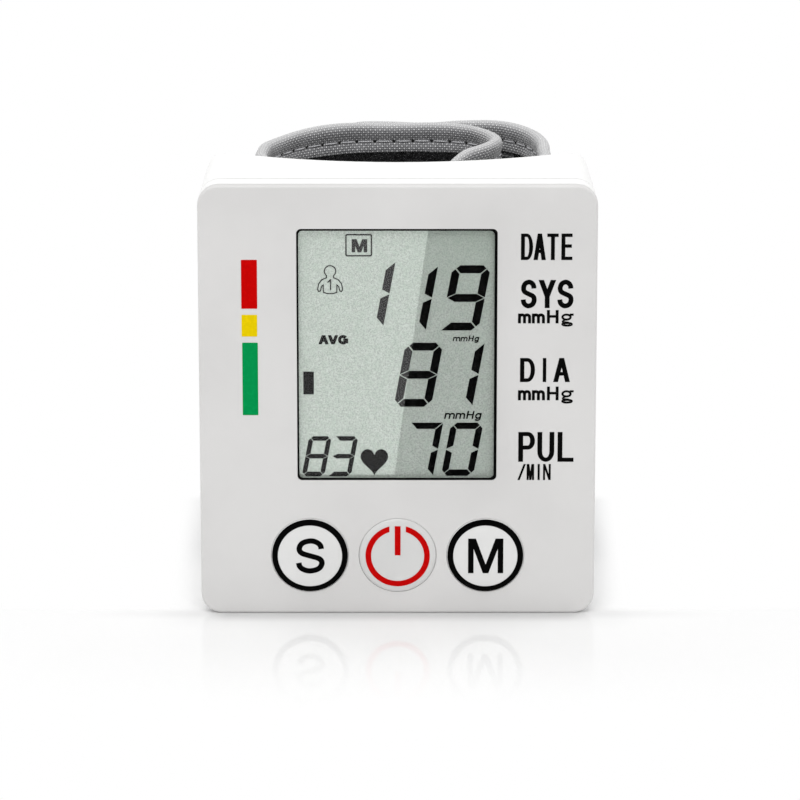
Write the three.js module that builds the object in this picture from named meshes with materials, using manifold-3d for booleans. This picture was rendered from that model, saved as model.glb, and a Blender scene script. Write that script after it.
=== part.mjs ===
// Wrist blood pressure monitor: a display unit with three push buttons, and the wrap-round cuff behind it.
// Millimetres. +X is to the right of the display, +Y runs from the display to the wrist, +Z is up.
// The pieces are laid out with the face of the front panel at zero depth and the base at zero height.
// The finished group is then moved so that its origin lies on the base, below the middle of its box.
import * as THREE from "three";
import { mergeVertices } from "three/addons/utils/BufferGeometryUtils.js";
import Module from "manifold-3d";

const wasm = await Module();
wasm.setup();

// Case
const caseWidth = 70;
const caseHeight = 79;
const cornerRadius = 3.7;
const wall = 2;
const sideDraft = 1.1;
const cradleDepth = 23.7;
const cradleRadius = 74.5;
const wingRadius = 3.9;
const topRearRadius = 8.8;
const baseRearRadius = 2.5;
const seamDepth = 5;

// Fits
const seatGap = 0.2;
const seamGap = 0.3;
const cutOverrun = 2;

// Front panel and window
const fasciaThickness = 1.2;
const windowLeftBand = 17.4;
const windowRightBand = 17.6;
const windowTopBand = 7.87;
const windowSill = 25.1;
const windowCorner = 0.85;
const lensClearance = 0.15;
const lensRecess = 0.15;
const lensFlange = 1.2;
const lensFlangeThickness = 1.2;

// Display
const gasketThickness = 0.6;
const gasketLip = 0.15;
const glassSideMargin = 1.4;
const glassEndMargin = 2.2;
const glassThickness = 2.4;
const connectorThickness = 2;
const connectorHeight = 2.2;
const frameWall = 0.9;

// Buttons
const buttonSideBand = 19.4;
const buttonGap = 2.1;
const buttonMiddle = 10.92;
const buttonProud = 0.4;
const buttonSlope = 0.85;
const buttonClearance = 0.2;
const buttonFlange = 0.85;
const buttonFlangeThickness = 0.8;
const buttonCrown = 1.6;
const buttonSkirt = 1.2;
const buttonStem = 1.6;
const buttonTravel = 0.5;

// Main board
const boardThickness = 1.6;
const boardOverhang = 0.1;
const boardLift = 2.5;
const switchWidth = 6;
const switchDepth = 2.6;
const plungerRadius = 1.6;
const standoffRadius = 2;
const standoffRise = 6.7;
const boardScrewRadius = 0.9;
const boardScrewHead = 1.8;
const boardScrewHeadThickness = 1.1;
const boardScrewLength = 5.5;
const chipWidth = 12;
const chipThickness = 1.4;
const chipDrop = 12.3;
const chipMargin = 3;
const buzzerRadius = 5;
const buzzerThickness = 3;
const buzzerMiddle = 24;
const buzzerMargin = 3.2;

// Case screws
const bossRadius = 2.7;
const bossInset = 8;
const bossRise = 8;
const bossDrop = 4.8;
const bossSeamDepth = 18;
const bossLedge = 2.5;
const screwRadius = 1.15;
const screwHeadRadius = 2.1;
const screwHeadThickness = 1.5;
const screwLength = 12;

// Batteries
const cellRadius = 5.25;
const cellClearance = 0.4;
const cellTipRadius = 1.9;
const cellTipHeight = 1;
const trayWall = 0.8;
const trayPlate = 1.2;
const trayBottom = 16.6;
const trayTopBand = 11.05;
const trayRib = 1.3;
const springWire = 0.5;
const springCoilRadius = 2.6;
const springPitch = 1.1;
const springTurns = 2.5;
const contactWidth = 7;
const contactThickness = 0.4;
const coverThickness = 1.2;
const coverLedge = 1.2;
const coverMargin = 0.9;
const coverCorner = 2.5;

// Air pump, valve and hoses
const motorRadius = 5.2;
const motorLength = 20;
const pumpDrop = 53;
const sleeveWall = 0.9;
const sleeveHeight = 14;
const sleeveLift = 3;
const headWidth = 11.5;
const headHeight = 13;
const shelfThickness = 1.2;
const valveWidth = 8;
const valveHeight = 12;
const valveDrop = 13.3;
const manifoldWidth = 5;
const manifoldDrop = 9;
const airOffset = 5;
const sensorWidth = 7.5;
const sensorDepth = 4;
const sensorDrop = 16;
const sensorMargin = 8.45;
const portRadius = 0.9;
const portLength = 2.6;
const hoseOuter = 1.8;
const hoseInner = 1.1;
const hoseLead = 3.6;
const hoseLoop = 9;
const cuffHoseShare = 0.7;

// Nozzle and mount plate
const nozzleDrop = 18;
const nozzleRadius = 1.7;
const nozzleFlange = 3;
const nozzleFlangeThickness = 1.2;
const plateThickness = 1.2;
const plateBottom = 14;
const hookSpread = 14;
const hookWidth = 6;
const hookHeight = 2.4;
const hookReach = 1.2;
const hookInset = 8;

// Cuff
const bandThickness = 2.3;
const bandCover = 0.7;
const bandBladder = 0.5;
const bandBottom = 3.7;
const hemDepth = 6;
const rimDepth = 2;
const leftRadius = 25.4;
const rightRadius = 27.6;
const leftRootInset = 3.4;
const rightRootInset = 5.6;
const rootRise = 5.6;
const loopDepth = 58.7;
const layerGap = 0.8;
const loopPatchThickness = 0.4;
const loopPatchInset = 8.5;
const loopPatchShare = 0.45;
const bandStep = 3.2;
const bandDivisions = 2000;

// Steps of the round forms
const fineSteps = 8;
const cornerSteps = 5;
const roundSides = 32;
const screwSides = 16;
const hoseSides = 8;
const hoseSteps = 18;
const coilSides = 5;
const coilSteps = 8;

// Depths of the layers behind the front panel
const caseFront = fasciaThickness + seamGap;
const frontWallBack = caseFront + wall;
const lensFlangeBack = caseFront + lensFlangeThickness;
const gasketFront = lensFlangeBack + seatGap;
const glassFront = gasketFront + gasketThickness + seatGap;
const glassBack = glassFront + glassThickness;
const connectorFront = glassBack + seatGap;
const connectorBack = connectorFront + connectorThickness;
const boardFront = connectorBack + seatGap;
const boardBack = boardFront + boardThickness;
const partFront = boardBack + seatGap;

// Plan of the rear: a cradle arc between two rounded wings, as seen from above
const halfWidth = caseWidth / 2;
const rearHalfWidth = halfWidth - sideDraft;
const cradleCentre = cradleDepth + cradleRadius;
const wingCentreX = rearHalfWidth - wingRadius;
const wingReach = cradleRadius + wingRadius;
const wingCentreY = cradleCentre - Math.sqrt(wingReach ** 2 - wingCentreX ** 2);
const wingAngle = Math.atan2(wingCentreX, cradleCentre - wingCentreY);

// Window and display edges
const windowLeft = windowLeftBand - halfWidth;
const windowRight = halfWidth - windowRightBand;
const windowBottom = windowSill;
const windowTop = caseHeight - windowTopBand;
const glassLeft = windowLeft - glassSideMargin;
const glassRight = windowRight + glassSideMargin;
const glassBottom = windowBottom - glassEndMargin;
const glassTop = windowTop + glassEndMargin;

// Button row, board and what stands on the board
const buttonPitch = halfWidth - buttonSideBand;
const buttonRadius = (buttonPitch - buttonGap) / 2;
const boardHalfWidth = boardOverhang + frameWall + seatGap - glassLeft;
const boardBottom = wall + boardLift;
const boardTop = glassTop + frameWall + seatGap;
const chipOffset = chipMargin + chipWidth / 2 - boardHalfWidth;
const chipMiddle = boardTop - chipDrop;
const buzzerOffset = boardHalfWidth - buzzerMargin - buzzerRadius;
const sensorOffset = sensorMargin + sensorWidth / 2 - boardHalfWidth;
const valveBottom = boardTop - valveDrop;
const manifoldMiddle = valveBottom - manifoldDrop;
const sensorBottom = manifoldMiddle - sensorDrop;
const nozzleHeight = manifoldMiddle - nozzleDrop;
const motorBottom = caseHeight - pumpDrop;

// Heights on the cradle
const plateTop = caseHeight - plateBottom;
const hookLow = plateBottom + hookInset;
const hookHigh = plateTop - hookInset;
const bandTop = caseHeight - bandBottom;

// Materials, with the colours of the photograph where a piece shows
function finish(color, roughness, metalness) {
  return new THREE.MeshStandardMaterial({ color, roughness, metalness });
}
const panelGrey = finish(0xd9d9d7, 0.45, 0);
const caseWhite = finish(0xf7f7f6, 0.4, 0);
const buttonWhite = finish(0xdddcda, 0.4, 0);
const clearPlastic = finish(0xe8eeea, 0.1, 0);
const displayGreen = finish(0x9ba69d, 0.3, 0);
const darkRubber = finish(0x1c1c1e, 0.8, 0);
const siliconeHose = finish(0xd8dcd8, 0.5, 0);
const boardGreen = finish(0x1f5a3a, 0.5, 0);
const chipBlack = finish(0x18181a, 0.5, 0);
const steel = finish(0xb4b6b8, 0.35, 1);
const cellJacket = finish(0x3f5f86, 0.4, 0.2);
const trayBlack = finish(0x2a2a2c, 0.6, 0);
const wovenGrey = finish(0x8c8d93, 0.9, 0);
const meshBlack = finish(0x131315, 0.95, 0);
const bladderGrey = finish(0x77787c, 0.7, 0);

// Solids from three.js geometry, for joining and cutting
const weldDistance = 1e-5;

function solidOf(geometry) {
  const bare = geometry.clone();
  bare.deleteAttribute("normal");
  bare.deleteAttribute("uv");
  const welded = mergeVertices(bare, weldDistance);
  const corners = welded.index.array;
  const kept = [];
  for (let i = 0; i < corners.length; i += 3) {
    const [a, b, c] = corners.slice(i, i + 3);
    if (a !== b && b !== c && c !== a) kept.push(a, b, c);
  }
  const vertProperties = welded.attributes.position.array;
  const triVerts = new Uint32Array(kept);
  return new wasm.Manifold(new wasm.Mesh({ numProp: 3, vertProperties, triVerts }));
}

function geometryOf(solid) {
  const mesh = solid.getMesh();
  const geometry = new THREE.BufferGeometry();
  geometry.setAttribute("position", new THREE.BufferAttribute(mesh.vertProperties, mesh.numProp));
  geometry.setIndex(new THREE.BufferAttribute(mesh.triVerts, 1));
  geometry.computeVertexNormals();
  return geometry;
}

function joined(solids) {
  return solids.reduce((whole, solid) => whole.add(solid));
}

function cut(solid, tools) {
  return tools.reduce((rest, tool) => rest.subtract(tool), solid);
}

function block(left, right, front, back, bottom, top) {
  const box = new THREE.BoxGeometry(right - left, back - front, top - bottom);
  box.translate((left + right) / 2, (front + back) / 2, (bottom + top) / 2);
  return solidOf(box);
}

function rodAlongDepth(radius, x, z, front, back, sides = roundSides) {
  const rod = new THREE.CylinderGeometry(radius, radius, back - front, sides);
  rod.translate(x, (front + back) / 2, z);
  return solidOf(rod);
}

function rodUpright(radius, x, y, bottom, top, sides = roundSides) {
  const rod = new THREE.CylinderGeometry(radius, radius, top - bottom, sides);
  rod.rotateX(Math.PI / 2);
  rod.translate(x, y, (bottom + top) / 2);
  return solidOf(rod);
}

function rodAcross(radius, y, z, left, right, sides = roundSides) {
  const rod = new THREE.CylinderGeometry(radius, radius, right - left, sides);
  rod.rotateZ(Math.PI / 2);
  rod.translate((left + right) / 2, y, z);
  return solidOf(rod);
}

// A plate whose outline lies in X and Z
function plateInFront(shape, front, back) {
  const depth = back - front;
  const plate = new THREE.ExtrudeGeometry(shape, { depth, bevelEnabled: false, curveSegments: cornerSteps });
  plate.rotateX(Math.PI / 2);
  plate.translate(0, back, 0);
  return solidOf(plate);
}

// A wall whose outline lies in X and Y
function wallUpright(shape, bottom, top) {
  const depth = top - bottom;
  const upright = new THREE.ExtrudeGeometry(shape, { depth, bevelEnabled: false });
  upright.translate(0, 0, bottom);
  return solidOf(upright);
}

function roundedPoints(left, right, bottom, top, radius) {
  const centres = [
    [right - radius, top - radius],
    [left + radius, top - radius],
    [left + radius, bottom + radius],
    [right - radius, bottom + radius],
  ];
  const points = [];
  centres.forEach(([x, z], quarter) => {
    for (let step = 0; step <= cornerSteps; step += 1) {
      const angle = ((quarter + step / cornerSteps) * Math.PI) / 2;
      points.push(new THREE.Vector2(x + radius * Math.cos(angle), z + radius * Math.sin(angle)));
    }
  });
  return points;
}

function roundedPlate(left, right, bottom, top, radius, front, back) {
  return plateInFront(new THREE.Shape(roundedPoints(left, right, bottom, top, radius)), front, back);
}

// A closed skin through rings of points that all have the same count. Each ring is convex and runs
// clockwise as seen along the way from the first ring to the last.
function loft(rings) {
  const count = rings[0].length;
  const positions = rings.flat().flatMap((point) => point.toArray());
  const index = [];
  for (let ring = 0; ring + 1 < rings.length; ring += 1) {
    for (let i = 0; i < count; i += 1) {
      const next = (i + 1) % count;
      const a = ring * count + i;
      const b = ring * count + next;
      const c = a + count;
      const d = b + count;
      index.push(a, d, b, a, c, d);
    }
  }
  const last = (rings.length - 1) * count;
  for (let i = 1; i + 1 < count; i += 1) {
    index.push(0, i, i + 1);
    index.push(last, last + i + 1, last + i);
  }
  const skin = new THREE.BufferGeometry();
  skin.setAttribute("position", new THREE.Float32BufferAttribute(positions, 3));
  skin.setIndex(index);
  return solidOf(skin);
}

// Case: the outer form and the hollow are the same form, the hollow inset by the wall
function rearStations(inset) {
  const cradle = cradleRadius + inset;
  const wing = wingRadius - inset;
  const stations = [];
  for (let step = 0; step < fineSteps; step += 1) {
    const angle = (wingAngle * step) / fineSteps;
    stations.push([cradle * Math.sin(angle), cradleCentre - cradle * Math.cos(angle)]);
  }
  for (let step = 0; step <= fineSteps; step += 1) {
    const angle = -wingAngle + ((Math.PI / 2 + wingAngle) * step) / fineSteps;
    stations.push([wingCentreX + wing * Math.sin(angle), wingCentreY + wing * Math.cos(angle)]);
  }
  stations.push([halfWidth, wingCentreY]);
  const mirrored = stations.slice(1).map(([x, y]) => [-x, y]);
  return [...mirrored.reverse(), ...stations];
}

function profileAt([x, rear], inset) {
  const top = caseHeight - inset;
  const bottom = inset;
  const topRadius = topRearRadius - inset;
  const baseRadius = Math.max(baseRearRadius - inset, seatGap);
  const ring = [new THREE.Vector3(x, 0, bottom), new THREE.Vector3(x, 0, top)];
  for (let step = 0; step <= fineSteps; step += 1) {
    const angle = ((Math.PI / 2) * step) / fineSteps;
    const y = rear - topRadius * (1 - Math.sin(angle));
    ring.push(new THREE.Vector3(x, y, top - topRadius * (1 - Math.cos(angle))));
  }
  for (let step = 0; step <= cornerSteps; step += 1) {
    const angle = ((Math.PI / 2) * step) / cornerSteps;
    const y = rear - baseRadius * (1 - Math.cos(angle));
    ring.push(new THREE.Vector3(x, y, bottom + baseRadius * (1 - Math.sin(angle))));
  }
  return ring;
}

function outlineAt(y, half, inset) {
  const radius = cornerRadius - inset;
  const points = roundedPoints(-half + inset, half - inset, inset, caseHeight - inset, radius);
  return points.map((point) => new THREE.Vector3(point.x, y, point.y));
}

function caseForm(inset, front) {
  const alongWidth = loft(rearStations(inset).map((station) => profileAt(station, inset)));
  const slope = sideDraft / (wingCentreY - caseFront);
  const frontHalf = halfWidth - (front - caseFront) * slope;
  const back = wingCentreY + wingRadius + cutOverrun;
  const sides = [
    outlineAt(front, frontHalf, inset),
    outlineAt(wingCentreY, rearHalfWidth, inset),
    outlineAt(back, rearHalfWidth, inset),
  ];
  return alongWidth.intersect(loft(sides));
}

function cradleSurface(x, offset) {
  return cradleCentre - Math.sqrt((cradleRadius - offset) ** 2 - x ** 2);
}

const outerForm = caseForm(0, caseFront);
const shell = outerForm.subtract(caseForm(wall, frontWallBack));

// Places of the batteries in the left wing
const cellX = -(rearHalfWidth - coverThickness - cellClearance - cellRadius);
const cellFrontY = frontWallBack + cellClearance + cellRadius;
const cellRearY = cellFrontY + 2 * cellRadius + cellClearance;
const bayBottom = trayBottom + trayPlate;
const trayTop = caseHeight - trayTopBand;
const bayTop = trayTop - trayPlate;
const springHeight = springPitch * springTurns + springWire;
const cellTotal = bayTop - bayBottom - springHeight - contactThickness - 4 * seatGap;
const cellLength = cellTotal - cellTipHeight;
const coverFront = seamDepth + coverMargin;
const coverBack = wingCentreY - coverMargin;

// Left opening for the batteries, with rounded corners as seen from the side
function sideWindow(margin, inner, outer) {
  const front = coverFront + margin;
  const back = coverBack - margin;
  const bottom = trayBottom + margin;
  const top = trayTop - margin;
  const outline = new THREE.Shape(roundedPoints(front, back, bottom, top, coverCorner - margin));
  const depth = outer - inner;
  const window = new THREE.ExtrudeGeometry(outline, { depth, bevelEnabled: false });
  window.rotateX(Math.PI / 2);
  window.rotateZ(Math.PI / 2);
  window.translate(-inner - depth, 0, 0);
  return solidOf(window);
}

// Case screws
const bossSpread = halfWidth - bossInset;
const bossPlaces = [
  ["lower_left", -bossSpread, bossRise],
  ["lower_right", bossSpread, bossRise],
  ["upper_left", -bossSpread, caseHeight - bossDrop],
  ["upper_right", bossSpread, caseHeight - bossDrop],
];
const bossSeatDepth = bossSeamDepth + seatGap + bossLedge;
const screwHeadFront = bossSeatDepth + seatGap;
const screwEnd = screwHeadFront - screwLength;
const caseDepth = wingCentreY + wingRadius;

function windowPlate(margin, front, back) {
  const radius = Math.max(windowCorner + margin, seatGap);
  const left = windowLeft - margin;
  const right = windowRight + margin;
  return roundedPlate(left, right, windowBottom - margin, windowTop + margin, radius, front, back);
}

const buttonPlaces = [
  ["set", -buttonPitch],
  ["power", 0],
  ["memory", buttonPitch],
];
const buttonHole = buttonRadius + buttonClearance;
const standoffPlaces = [
  ["left", -buttonPitch / 2],
  ["right", buttonPitch / 2],
];
const standoffHeight = buttonMiddle + standoffRise;
const standoffBack = boardFront - seatGap;

function buttonHoles(front, back) {
  return buttonPlaces.map(([, x]) => rodAlongDepth(buttonHole, x, buttonMiddle, front, back));
}

function frontCase() {
  const rim = block(-halfWidth, halfWidth, 0, seamDepth - seamGap / 2, 0, caseHeight);
  const bosses = bossPlaces.map(([, x, z]) => rodAlongDepth(bossRadius, x, z, caseFront, bossSeamDepth));
  const posts = standoffPlaces.map(([, x]) =>
    rodAlongDepth(standoffRadius, x, standoffHeight, caseFront, standoffBack),
  );
  const pilots = bossPlaces.map(([, x, z]) =>
    rodAlongDepth(screwRadius + seatGap, x, z, screwEnd - seatGap, caseDepth, screwSides),
  );
  const postPilots = standoffPlaces.map(([, x]) => {
    const front = boardBack - boardScrewLength;
    return rodAlongDepth(boardScrewRadius + seatGap, x, standoffHeight, front, caseDepth, screwSides);
  });
  const body = joined([shell.intersect(rim), ...bosses, ...posts]);
  const display = windowPlate(lensFlange + seamGap, 0, frontWallBack + cutOverrun);
  return cut(body, [display, ...buttonHoles(0, frontWallBack + cutOverrun), ...pilots, ...postPilots]);
}

// Pump in the right wing
const sleeveHalf = motorRadius + seatGap + sleeveWall;
const pumpX = rearHalfWidth - wall - seamGap - sleeveHalf;
const pumpY = partFront + seamGap + sleeveHalf;
const sleeveBottom = motorBottom + sleeveLift;

function nozzleHoles(radius) {
  return rodAlongDepth(radius, 0, nozzleHeight, partFront, loopDepth);
}

function hooks(margin, front) {
  const pegs = [];
  for (const side of [-1, 1]) {
    for (const z of [hookLow, hookHigh]) {
      const middle = side * hookSpread;
      const half = hookWidth / 2 + margin;
      const rise = hookHeight / 2 + margin;
      const back = cradleSurface(hookSpread, seamGap + plateThickness / 2);
      pegs.push(block(middle - half, middle + half, front, back, z - rise, z + rise));
    }
  }
  return pegs;
}

function rearCase() {
  const tub = block(-halfWidth, halfWidth, seamDepth + seamGap / 2, caseDepth, 0, caseHeight);
  const bossFront = bossSeamDepth + seatGap;
  const bosses = bossPlaces.map(([, x, z]) => rodAlongDepth(bossRadius, x, z, bossFront, caseDepth));
  const inner = caseForm(wall / 2, bossFront);
  const shelfBack = pumpY + sleeveHalf;
  const shelfTop = motorBottom - seatGap;
  const shelf = block(pumpX, rearHalfWidth, pumpY, shelfBack, shelfTop - shelfThickness, shelfTop);
  const body = joined([shell.intersect(tub), ...bosses.map((boss) => boss.intersect(inner)), shelf]);
  const recesses = bossPlaces.map(([, x, z]) =>
    rodAlongDepth(screwHeadRadius + seatGap, x, z, bossSeatDepth, caseDepth + cutOverrun),
  );
  const shanks = bossPlaces.map(([, x, z]) =>
    rodAlongDepth(screwRadius + seatGap, x, z, bossSeamDepth, bossSeatDepth + seatGap, screwSides),
  );
  const outside = halfWidth + cutOverrun;
  const ledgeInside = rearHalfWidth - wall - cutOverrun;
  const ledge = sideWindow(coverLedge, ledgeInside, outside);
  const seat = sideWindow(0, ledgeInside, outside).subtract(caseForm(coverThickness + seatGap, caseFront));
  const slots = hooks(seatGap, partFront + seamGap);
  return cut(body, [...recesses, ...shanks, ledge, seat, nozzleHoles(nozzleRadius + seamGap), ...slots]);
}

function batteryCover() {
  const skin = outerForm.subtract(caseForm(coverThickness, caseFront - cutOverrun));
  return sideWindow(seamGap, rearHalfWidth - wall - cutOverrun, halfWidth + cutOverrun).intersect(skin);
}

// Front panel, window and display
function fascia() {
  const panel = roundedPlate(-halfWidth, halfWidth, 0, caseHeight, cornerRadius, 0, fasciaThickness);
  const opening = windowPlate(0, -cutOverrun, caseFront);
  return cut(panel, [opening, ...buttonHoles(-cutOverrun, caseFront)]);
}

function lens() {
  const pane = windowPlate(-lensClearance, lensRecess, lensFlangeBack);
  const flange = windowPlate(lensFlange, caseFront, lensFlangeBack);
  return pane.add(flange);
}

function gasket() {
  const ring = windowPlate(lensFlange, gasketFront, gasketFront + gasketThickness);
  return ring.subtract(windowPlate(gasketLip, lensFlangeBack, glassFront));
}

function glass() {
  return block(glassLeft, glassRight, glassFront, glassBack, glassBottom, glassTop);
}

function glassHolder() {
  const around = (margin, front, back) => {
    const bottom = glassBottom - margin;
    return block(glassLeft - margin, glassRight + margin, front, back, bottom, glassTop + margin);
  };
  const body = around(seatGap + frameWall, frontWallBack + seatGap, connectorBack);
  return body.subtract(around(seatGap, 0, boardFront));
}

function connector() {
  const top = glassBottom + connectorHeight;
  return block(glassLeft, glassRight, connectorFront, connectorBack, glassBottom, top);
}

// Buttons: a crowned cap with a skirt, a flange behind the case wall and a stem over its switch
const flangeFront = frontWallBack + seatGap;
const flangeBack = flangeFront + buttonFlangeThickness;
const plungerFront = flangeBack + buttonTravel + seamGap;

function buttonCap() {
  const crownBack = buttonCrown - buttonProud;
  const outline = [
    [0, -buttonProud],
    [buttonRadius - buttonSlope, -buttonProud],
    [buttonRadius - buttonSlope / 2, -buttonProud + buttonProud / 4],
    [buttonRadius, 0],
    [buttonRadius, flangeFront],
    [buttonRadius + buttonFlange, flangeFront],
    [buttonRadius + buttonFlange, flangeBack],
    [buttonRadius - buttonSkirt, flangeBack],
    [buttonRadius - buttonSkirt, crownBack],
    [buttonStem, crownBack],
    [buttonStem, flangeBack],
    [0, flangeBack],
  ];
  const profile = outline.map(([radius, depth]) => new THREE.Vector2(radius, depth));
  return solidOf(new THREE.LatheGeometry(profile, roundSides));
}

// Main board and what is soldered to it
function board() {
  const plate = block(-boardHalfWidth, boardHalfWidth, boardFront, boardBack, boardBottom, boardTop);
  const holes = standoffPlaces.map(([, x]) =>
    rodAlongDepth(boardScrewRadius + seatGap, x, standoffHeight, 0, caseDepth, screwSides),
  );
  return cut(plate, holes);
}

function keySwitch() {
  const half = switchWidth / 2;
  const bodyBack = boardFront - seatGap;
  const bodyFront = bodyBack - switchDepth;
  const body = block(-half, half, bodyFront, bodyBack, -half, half);
  return body.add(rodAlongDepth(plungerRadius, 0, 0, plungerFront, bodyBack, screwSides));
}

function screw(shank, head, headThickness, length) {
  const slotWidth = shank / 2;
  const shaft = rodAlongDepth(shank, 0, 0, -length, 0, screwSides);
  const cap = rodAlongDepth(head, 0, 0, 0, headThickness, screwSides);
  const deep = headThickness / 2;
  const long = shank;
  const cross = [
    block(-long, long, deep, headThickness + cutOverrun, -slotWidth / 2, slotWidth / 2),
    block(-slotWidth / 2, slotWidth / 2, deep, headThickness + cutOverrun, -long, long),
  ];
  return cut(shaft.add(cap), cross);
}

function pressureSensor() {
  const half = sensorWidth / 2;
  const body = block(-half, half, 0, sensorDepth, 0, sensorWidth);
  return body.add(rodUpright(portRadius, 0, sensorDepth / 2, 0, sensorWidth + portLength, screwSides));
}

// Batteries
function cell() {
  const outline = [
    [0, 0],
    [cellRadius, 0],
    [cellRadius, cellLength],
    [cellTipRadius, cellLength],
    [cellTipRadius, cellTotal],
    [0, cellTotal],
  ];
  const profile = outline.map(([radius, height]) => new THREE.Vector2(radius, height));
  return solidOf(new THREE.LatheGeometry(profile, roundSides).rotateX(Math.PI / 2));
}

function batteryTray() {
  const left = -(rearHalfWidth - wall - seamGap);
  const spineLeft = cellX + cellRadius + seatGap;
  const right = spineLeft + trayWall;
  const front = seamDepth + seatGap;
  const back = cradleSurface(right, -wall) - seamGap;
  const middle = (cellFrontY + cellRearY) / 2;
  return joined([
    block(spineLeft, right, front, back, trayBottom, trayTop),
    block(left, right, front, back, trayBottom, bayBottom),
    block(left, right, front, back, bayTop, trayTop),
    block(spineLeft - trayRib, right, middle - trayWall / 2, middle + trayWall / 2, trayBottom, trayTop),
  ]);
}

class CoilCurve extends THREE.Curve {
  getPoint(share, target = new THREE.Vector3()) {
    const angle = share * springTurns * 2 * Math.PI;
    const height = springWire / 2 + share * springTurns * springPitch;
    return target.set(springCoilRadius * Math.cos(angle), springCoilRadius * Math.sin(angle), height);
  }
}

function wireSection(radius, sides) {
  const section = new THREE.Shape();
  for (let side = 0; side < sides; side += 1) {
    const angle = (2 * Math.PI * side) / sides;
    const x = radius * Math.cos(angle);
    const y = radius * Math.sin(angle);
    if (side) section.lineTo(x, y);
    else section.moveTo(x, y);
  }
  section.closePath();
  return section;
}

const coilCurve = new CoilCurve();
const coilPoints = coilCurve.getPoints(Math.round(coilSteps * springTurns));

function batterySpring() {
  const steps = coilPoints.length - 1;
  const options = { steps, bevelEnabled: false, extrudePath: coilCurve };
  return solidOf(new THREE.ExtrudeGeometry(wireSection(springWire / 2, coilSides), options));
}

function leastCoilGap() {
  let least = Infinity;
  coilPoints.forEach((point, i) => {
    coilPoints.slice(i + coilSteps / 2).forEach((other) => {
      least = Math.min(least, point.distanceTo(other) - springWire);
    });
  });
  return least;
}
console.log("least gap between spring turns", leastCoilGap().toFixed(2), "mm");

function contactPlate() {
  const half = contactWidth / 2;
  return block(-half, half, -half, half, 0, contactThickness);
}

// Air path
function pumpSleeve() {
  const sleeveTop = sleeveBottom + sleeveHeight;
  const body = block(-sleeveHalf, sleeveHalf, -sleeveHalf, sleeveHalf, sleeveBottom, sleeveTop);
  return body.subtract(rodUpright(motorRadius + seatGap, 0, 0, motorBottom, caseHeight));
}

function pumpHead() {
  const half = headWidth / 2;
  const body = block(-half, half, -half, half, 0, headHeight);
  return body.add(rodUpright(portRadius, 0, 0, 0, headHeight + portLength, screwSides));
}

function valve() {
  const half = valveWidth / 2;
  const body = block(-half, half, -half, half, 0, valveHeight);
  return body.add(rodUpright(portRadius, 0, 0, -portLength, valveHeight / 2, screwSides));
}

function airManifold() {
  const half = manifoldWidth / 2;
  const reach = half + portLength;
  const body = block(-half, half, -half, half, -half, half);
  return joined([
    body,
    rodAcross(portRadius, 0, 0, -reach, reach, screwSides),
    rodUpright(portRadius, 0, 0, -reach, reach, screwSides),
  ]);
}

function nozzle() {
  const flangeEnd = cradleDepth - wall - seamGap;
  const flangeStart = flangeEnd - nozzleFlangeThickness;
  const rear = cradleSurface(0, seamGap * 2 + plateThickness + bandCover);
  return joined([
    rodAlongDepth(portRadius, 0, nozzleHeight, flangeStart - portLength, flangeEnd, screwSides),
    rodAlongDepth(nozzleFlange, 0, nozzleHeight, flangeStart, flangeEnd),
    rodAlongDepth(nozzleRadius, 0, nozzleHeight, flangeStart, rear, screwSides),
  ]);
}

const manifoldY = partFront + valveWidth / 2;
const portEnd = portLength + seatGap;
const headTop = motorBottom + motorLength + seatGap + headHeight;
const sensorTop = sensorBottom + sensorWidth;
const sensorY = partFront + sensorDepth / 2;
const nozzleRoot = cradleDepth - wall - seamGap - nozzleFlangeThickness;
const manifoldReach = manifoldWidth / 2 + seatGap;

// A hose pushed over two ports: each end starts at a body, runs along its port and then bends freely
function hose(start, startAim, end, endAim, between) {
  const lead = (from, aim, length) => from.clone().addScaledVector(aim, length);
  const points = [
    start,
    lead(start, startAim, portEnd),
    lead(start, startAim, portEnd + hoseLead / 2),
    ...between,
    lead(end, endAim, portEnd + hoseLead / 2),
    lead(end, endAim, portEnd),
    end,
  ];
  const path = new THREE.CatmullRomCurve3(points, false, "centripetal");
  const section = wireSection(hoseOuter, hoseSides);
  section.holes.push(wireSection(hoseInner, hoseSides));
  const options = { steps: hoseSteps, bevelEnabled: false, extrudePath: path };
  return solidOf(new THREE.ExtrudeGeometry(section, options));
}

const up = new THREE.Vector3(0, 0, 1);
const down = new THREE.Vector3(0, 0, -1);
const left = new THREE.Vector3(-1, 0, 0);
const right = new THREE.Vector3(1, 0, 0);
const forward = new THREE.Vector3(0, -1, 0);

function at(x, y, z) {
  return new THREE.Vector3(x, y, z);
}

function pumpHose() {
  const start = at(pumpX, pumpY, headTop + seatGap);
  const end = at(airOffset + manifoldReach, manifoldY, manifoldMiddle);
  const turn = start.z + portEnd + hoseLead / 2 + hoseOuter;
  const across = pumpX - hoseLoop;
  const between = [
    at((start.x + across) / 2, pumpY, turn + hoseOuter),
    at(across, (pumpY + manifoldY) / 2, turn - hoseOuter),
    at(across, manifoldY, (turn + end.z) / 2),
  ];
  return hose(start, up, end, right, between);
}

function valveHose() {
  const start = at(airOffset, manifoldY, manifoldMiddle + manifoldReach);
  const end = at(airOffset, manifoldY, valveBottom - seatGap);
  const path = new THREE.LineCurve3(start, end);
  const section = wireSection(hoseOuter, hoseSides);
  section.holes.push(wireSection(hoseInner, hoseSides));
  return solidOf(new THREE.ExtrudeGeometry(section, { steps: 1, bevelEnabled: false, extrudePath: path }));
}

function sensorHose() {
  const start = at(sensorOffset, sensorY, sensorTop + seatGap);
  const end = at(airOffset - manifoldReach, manifoldY, manifoldMiddle);
  return hose(start, up, end, left, []);
}

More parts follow.
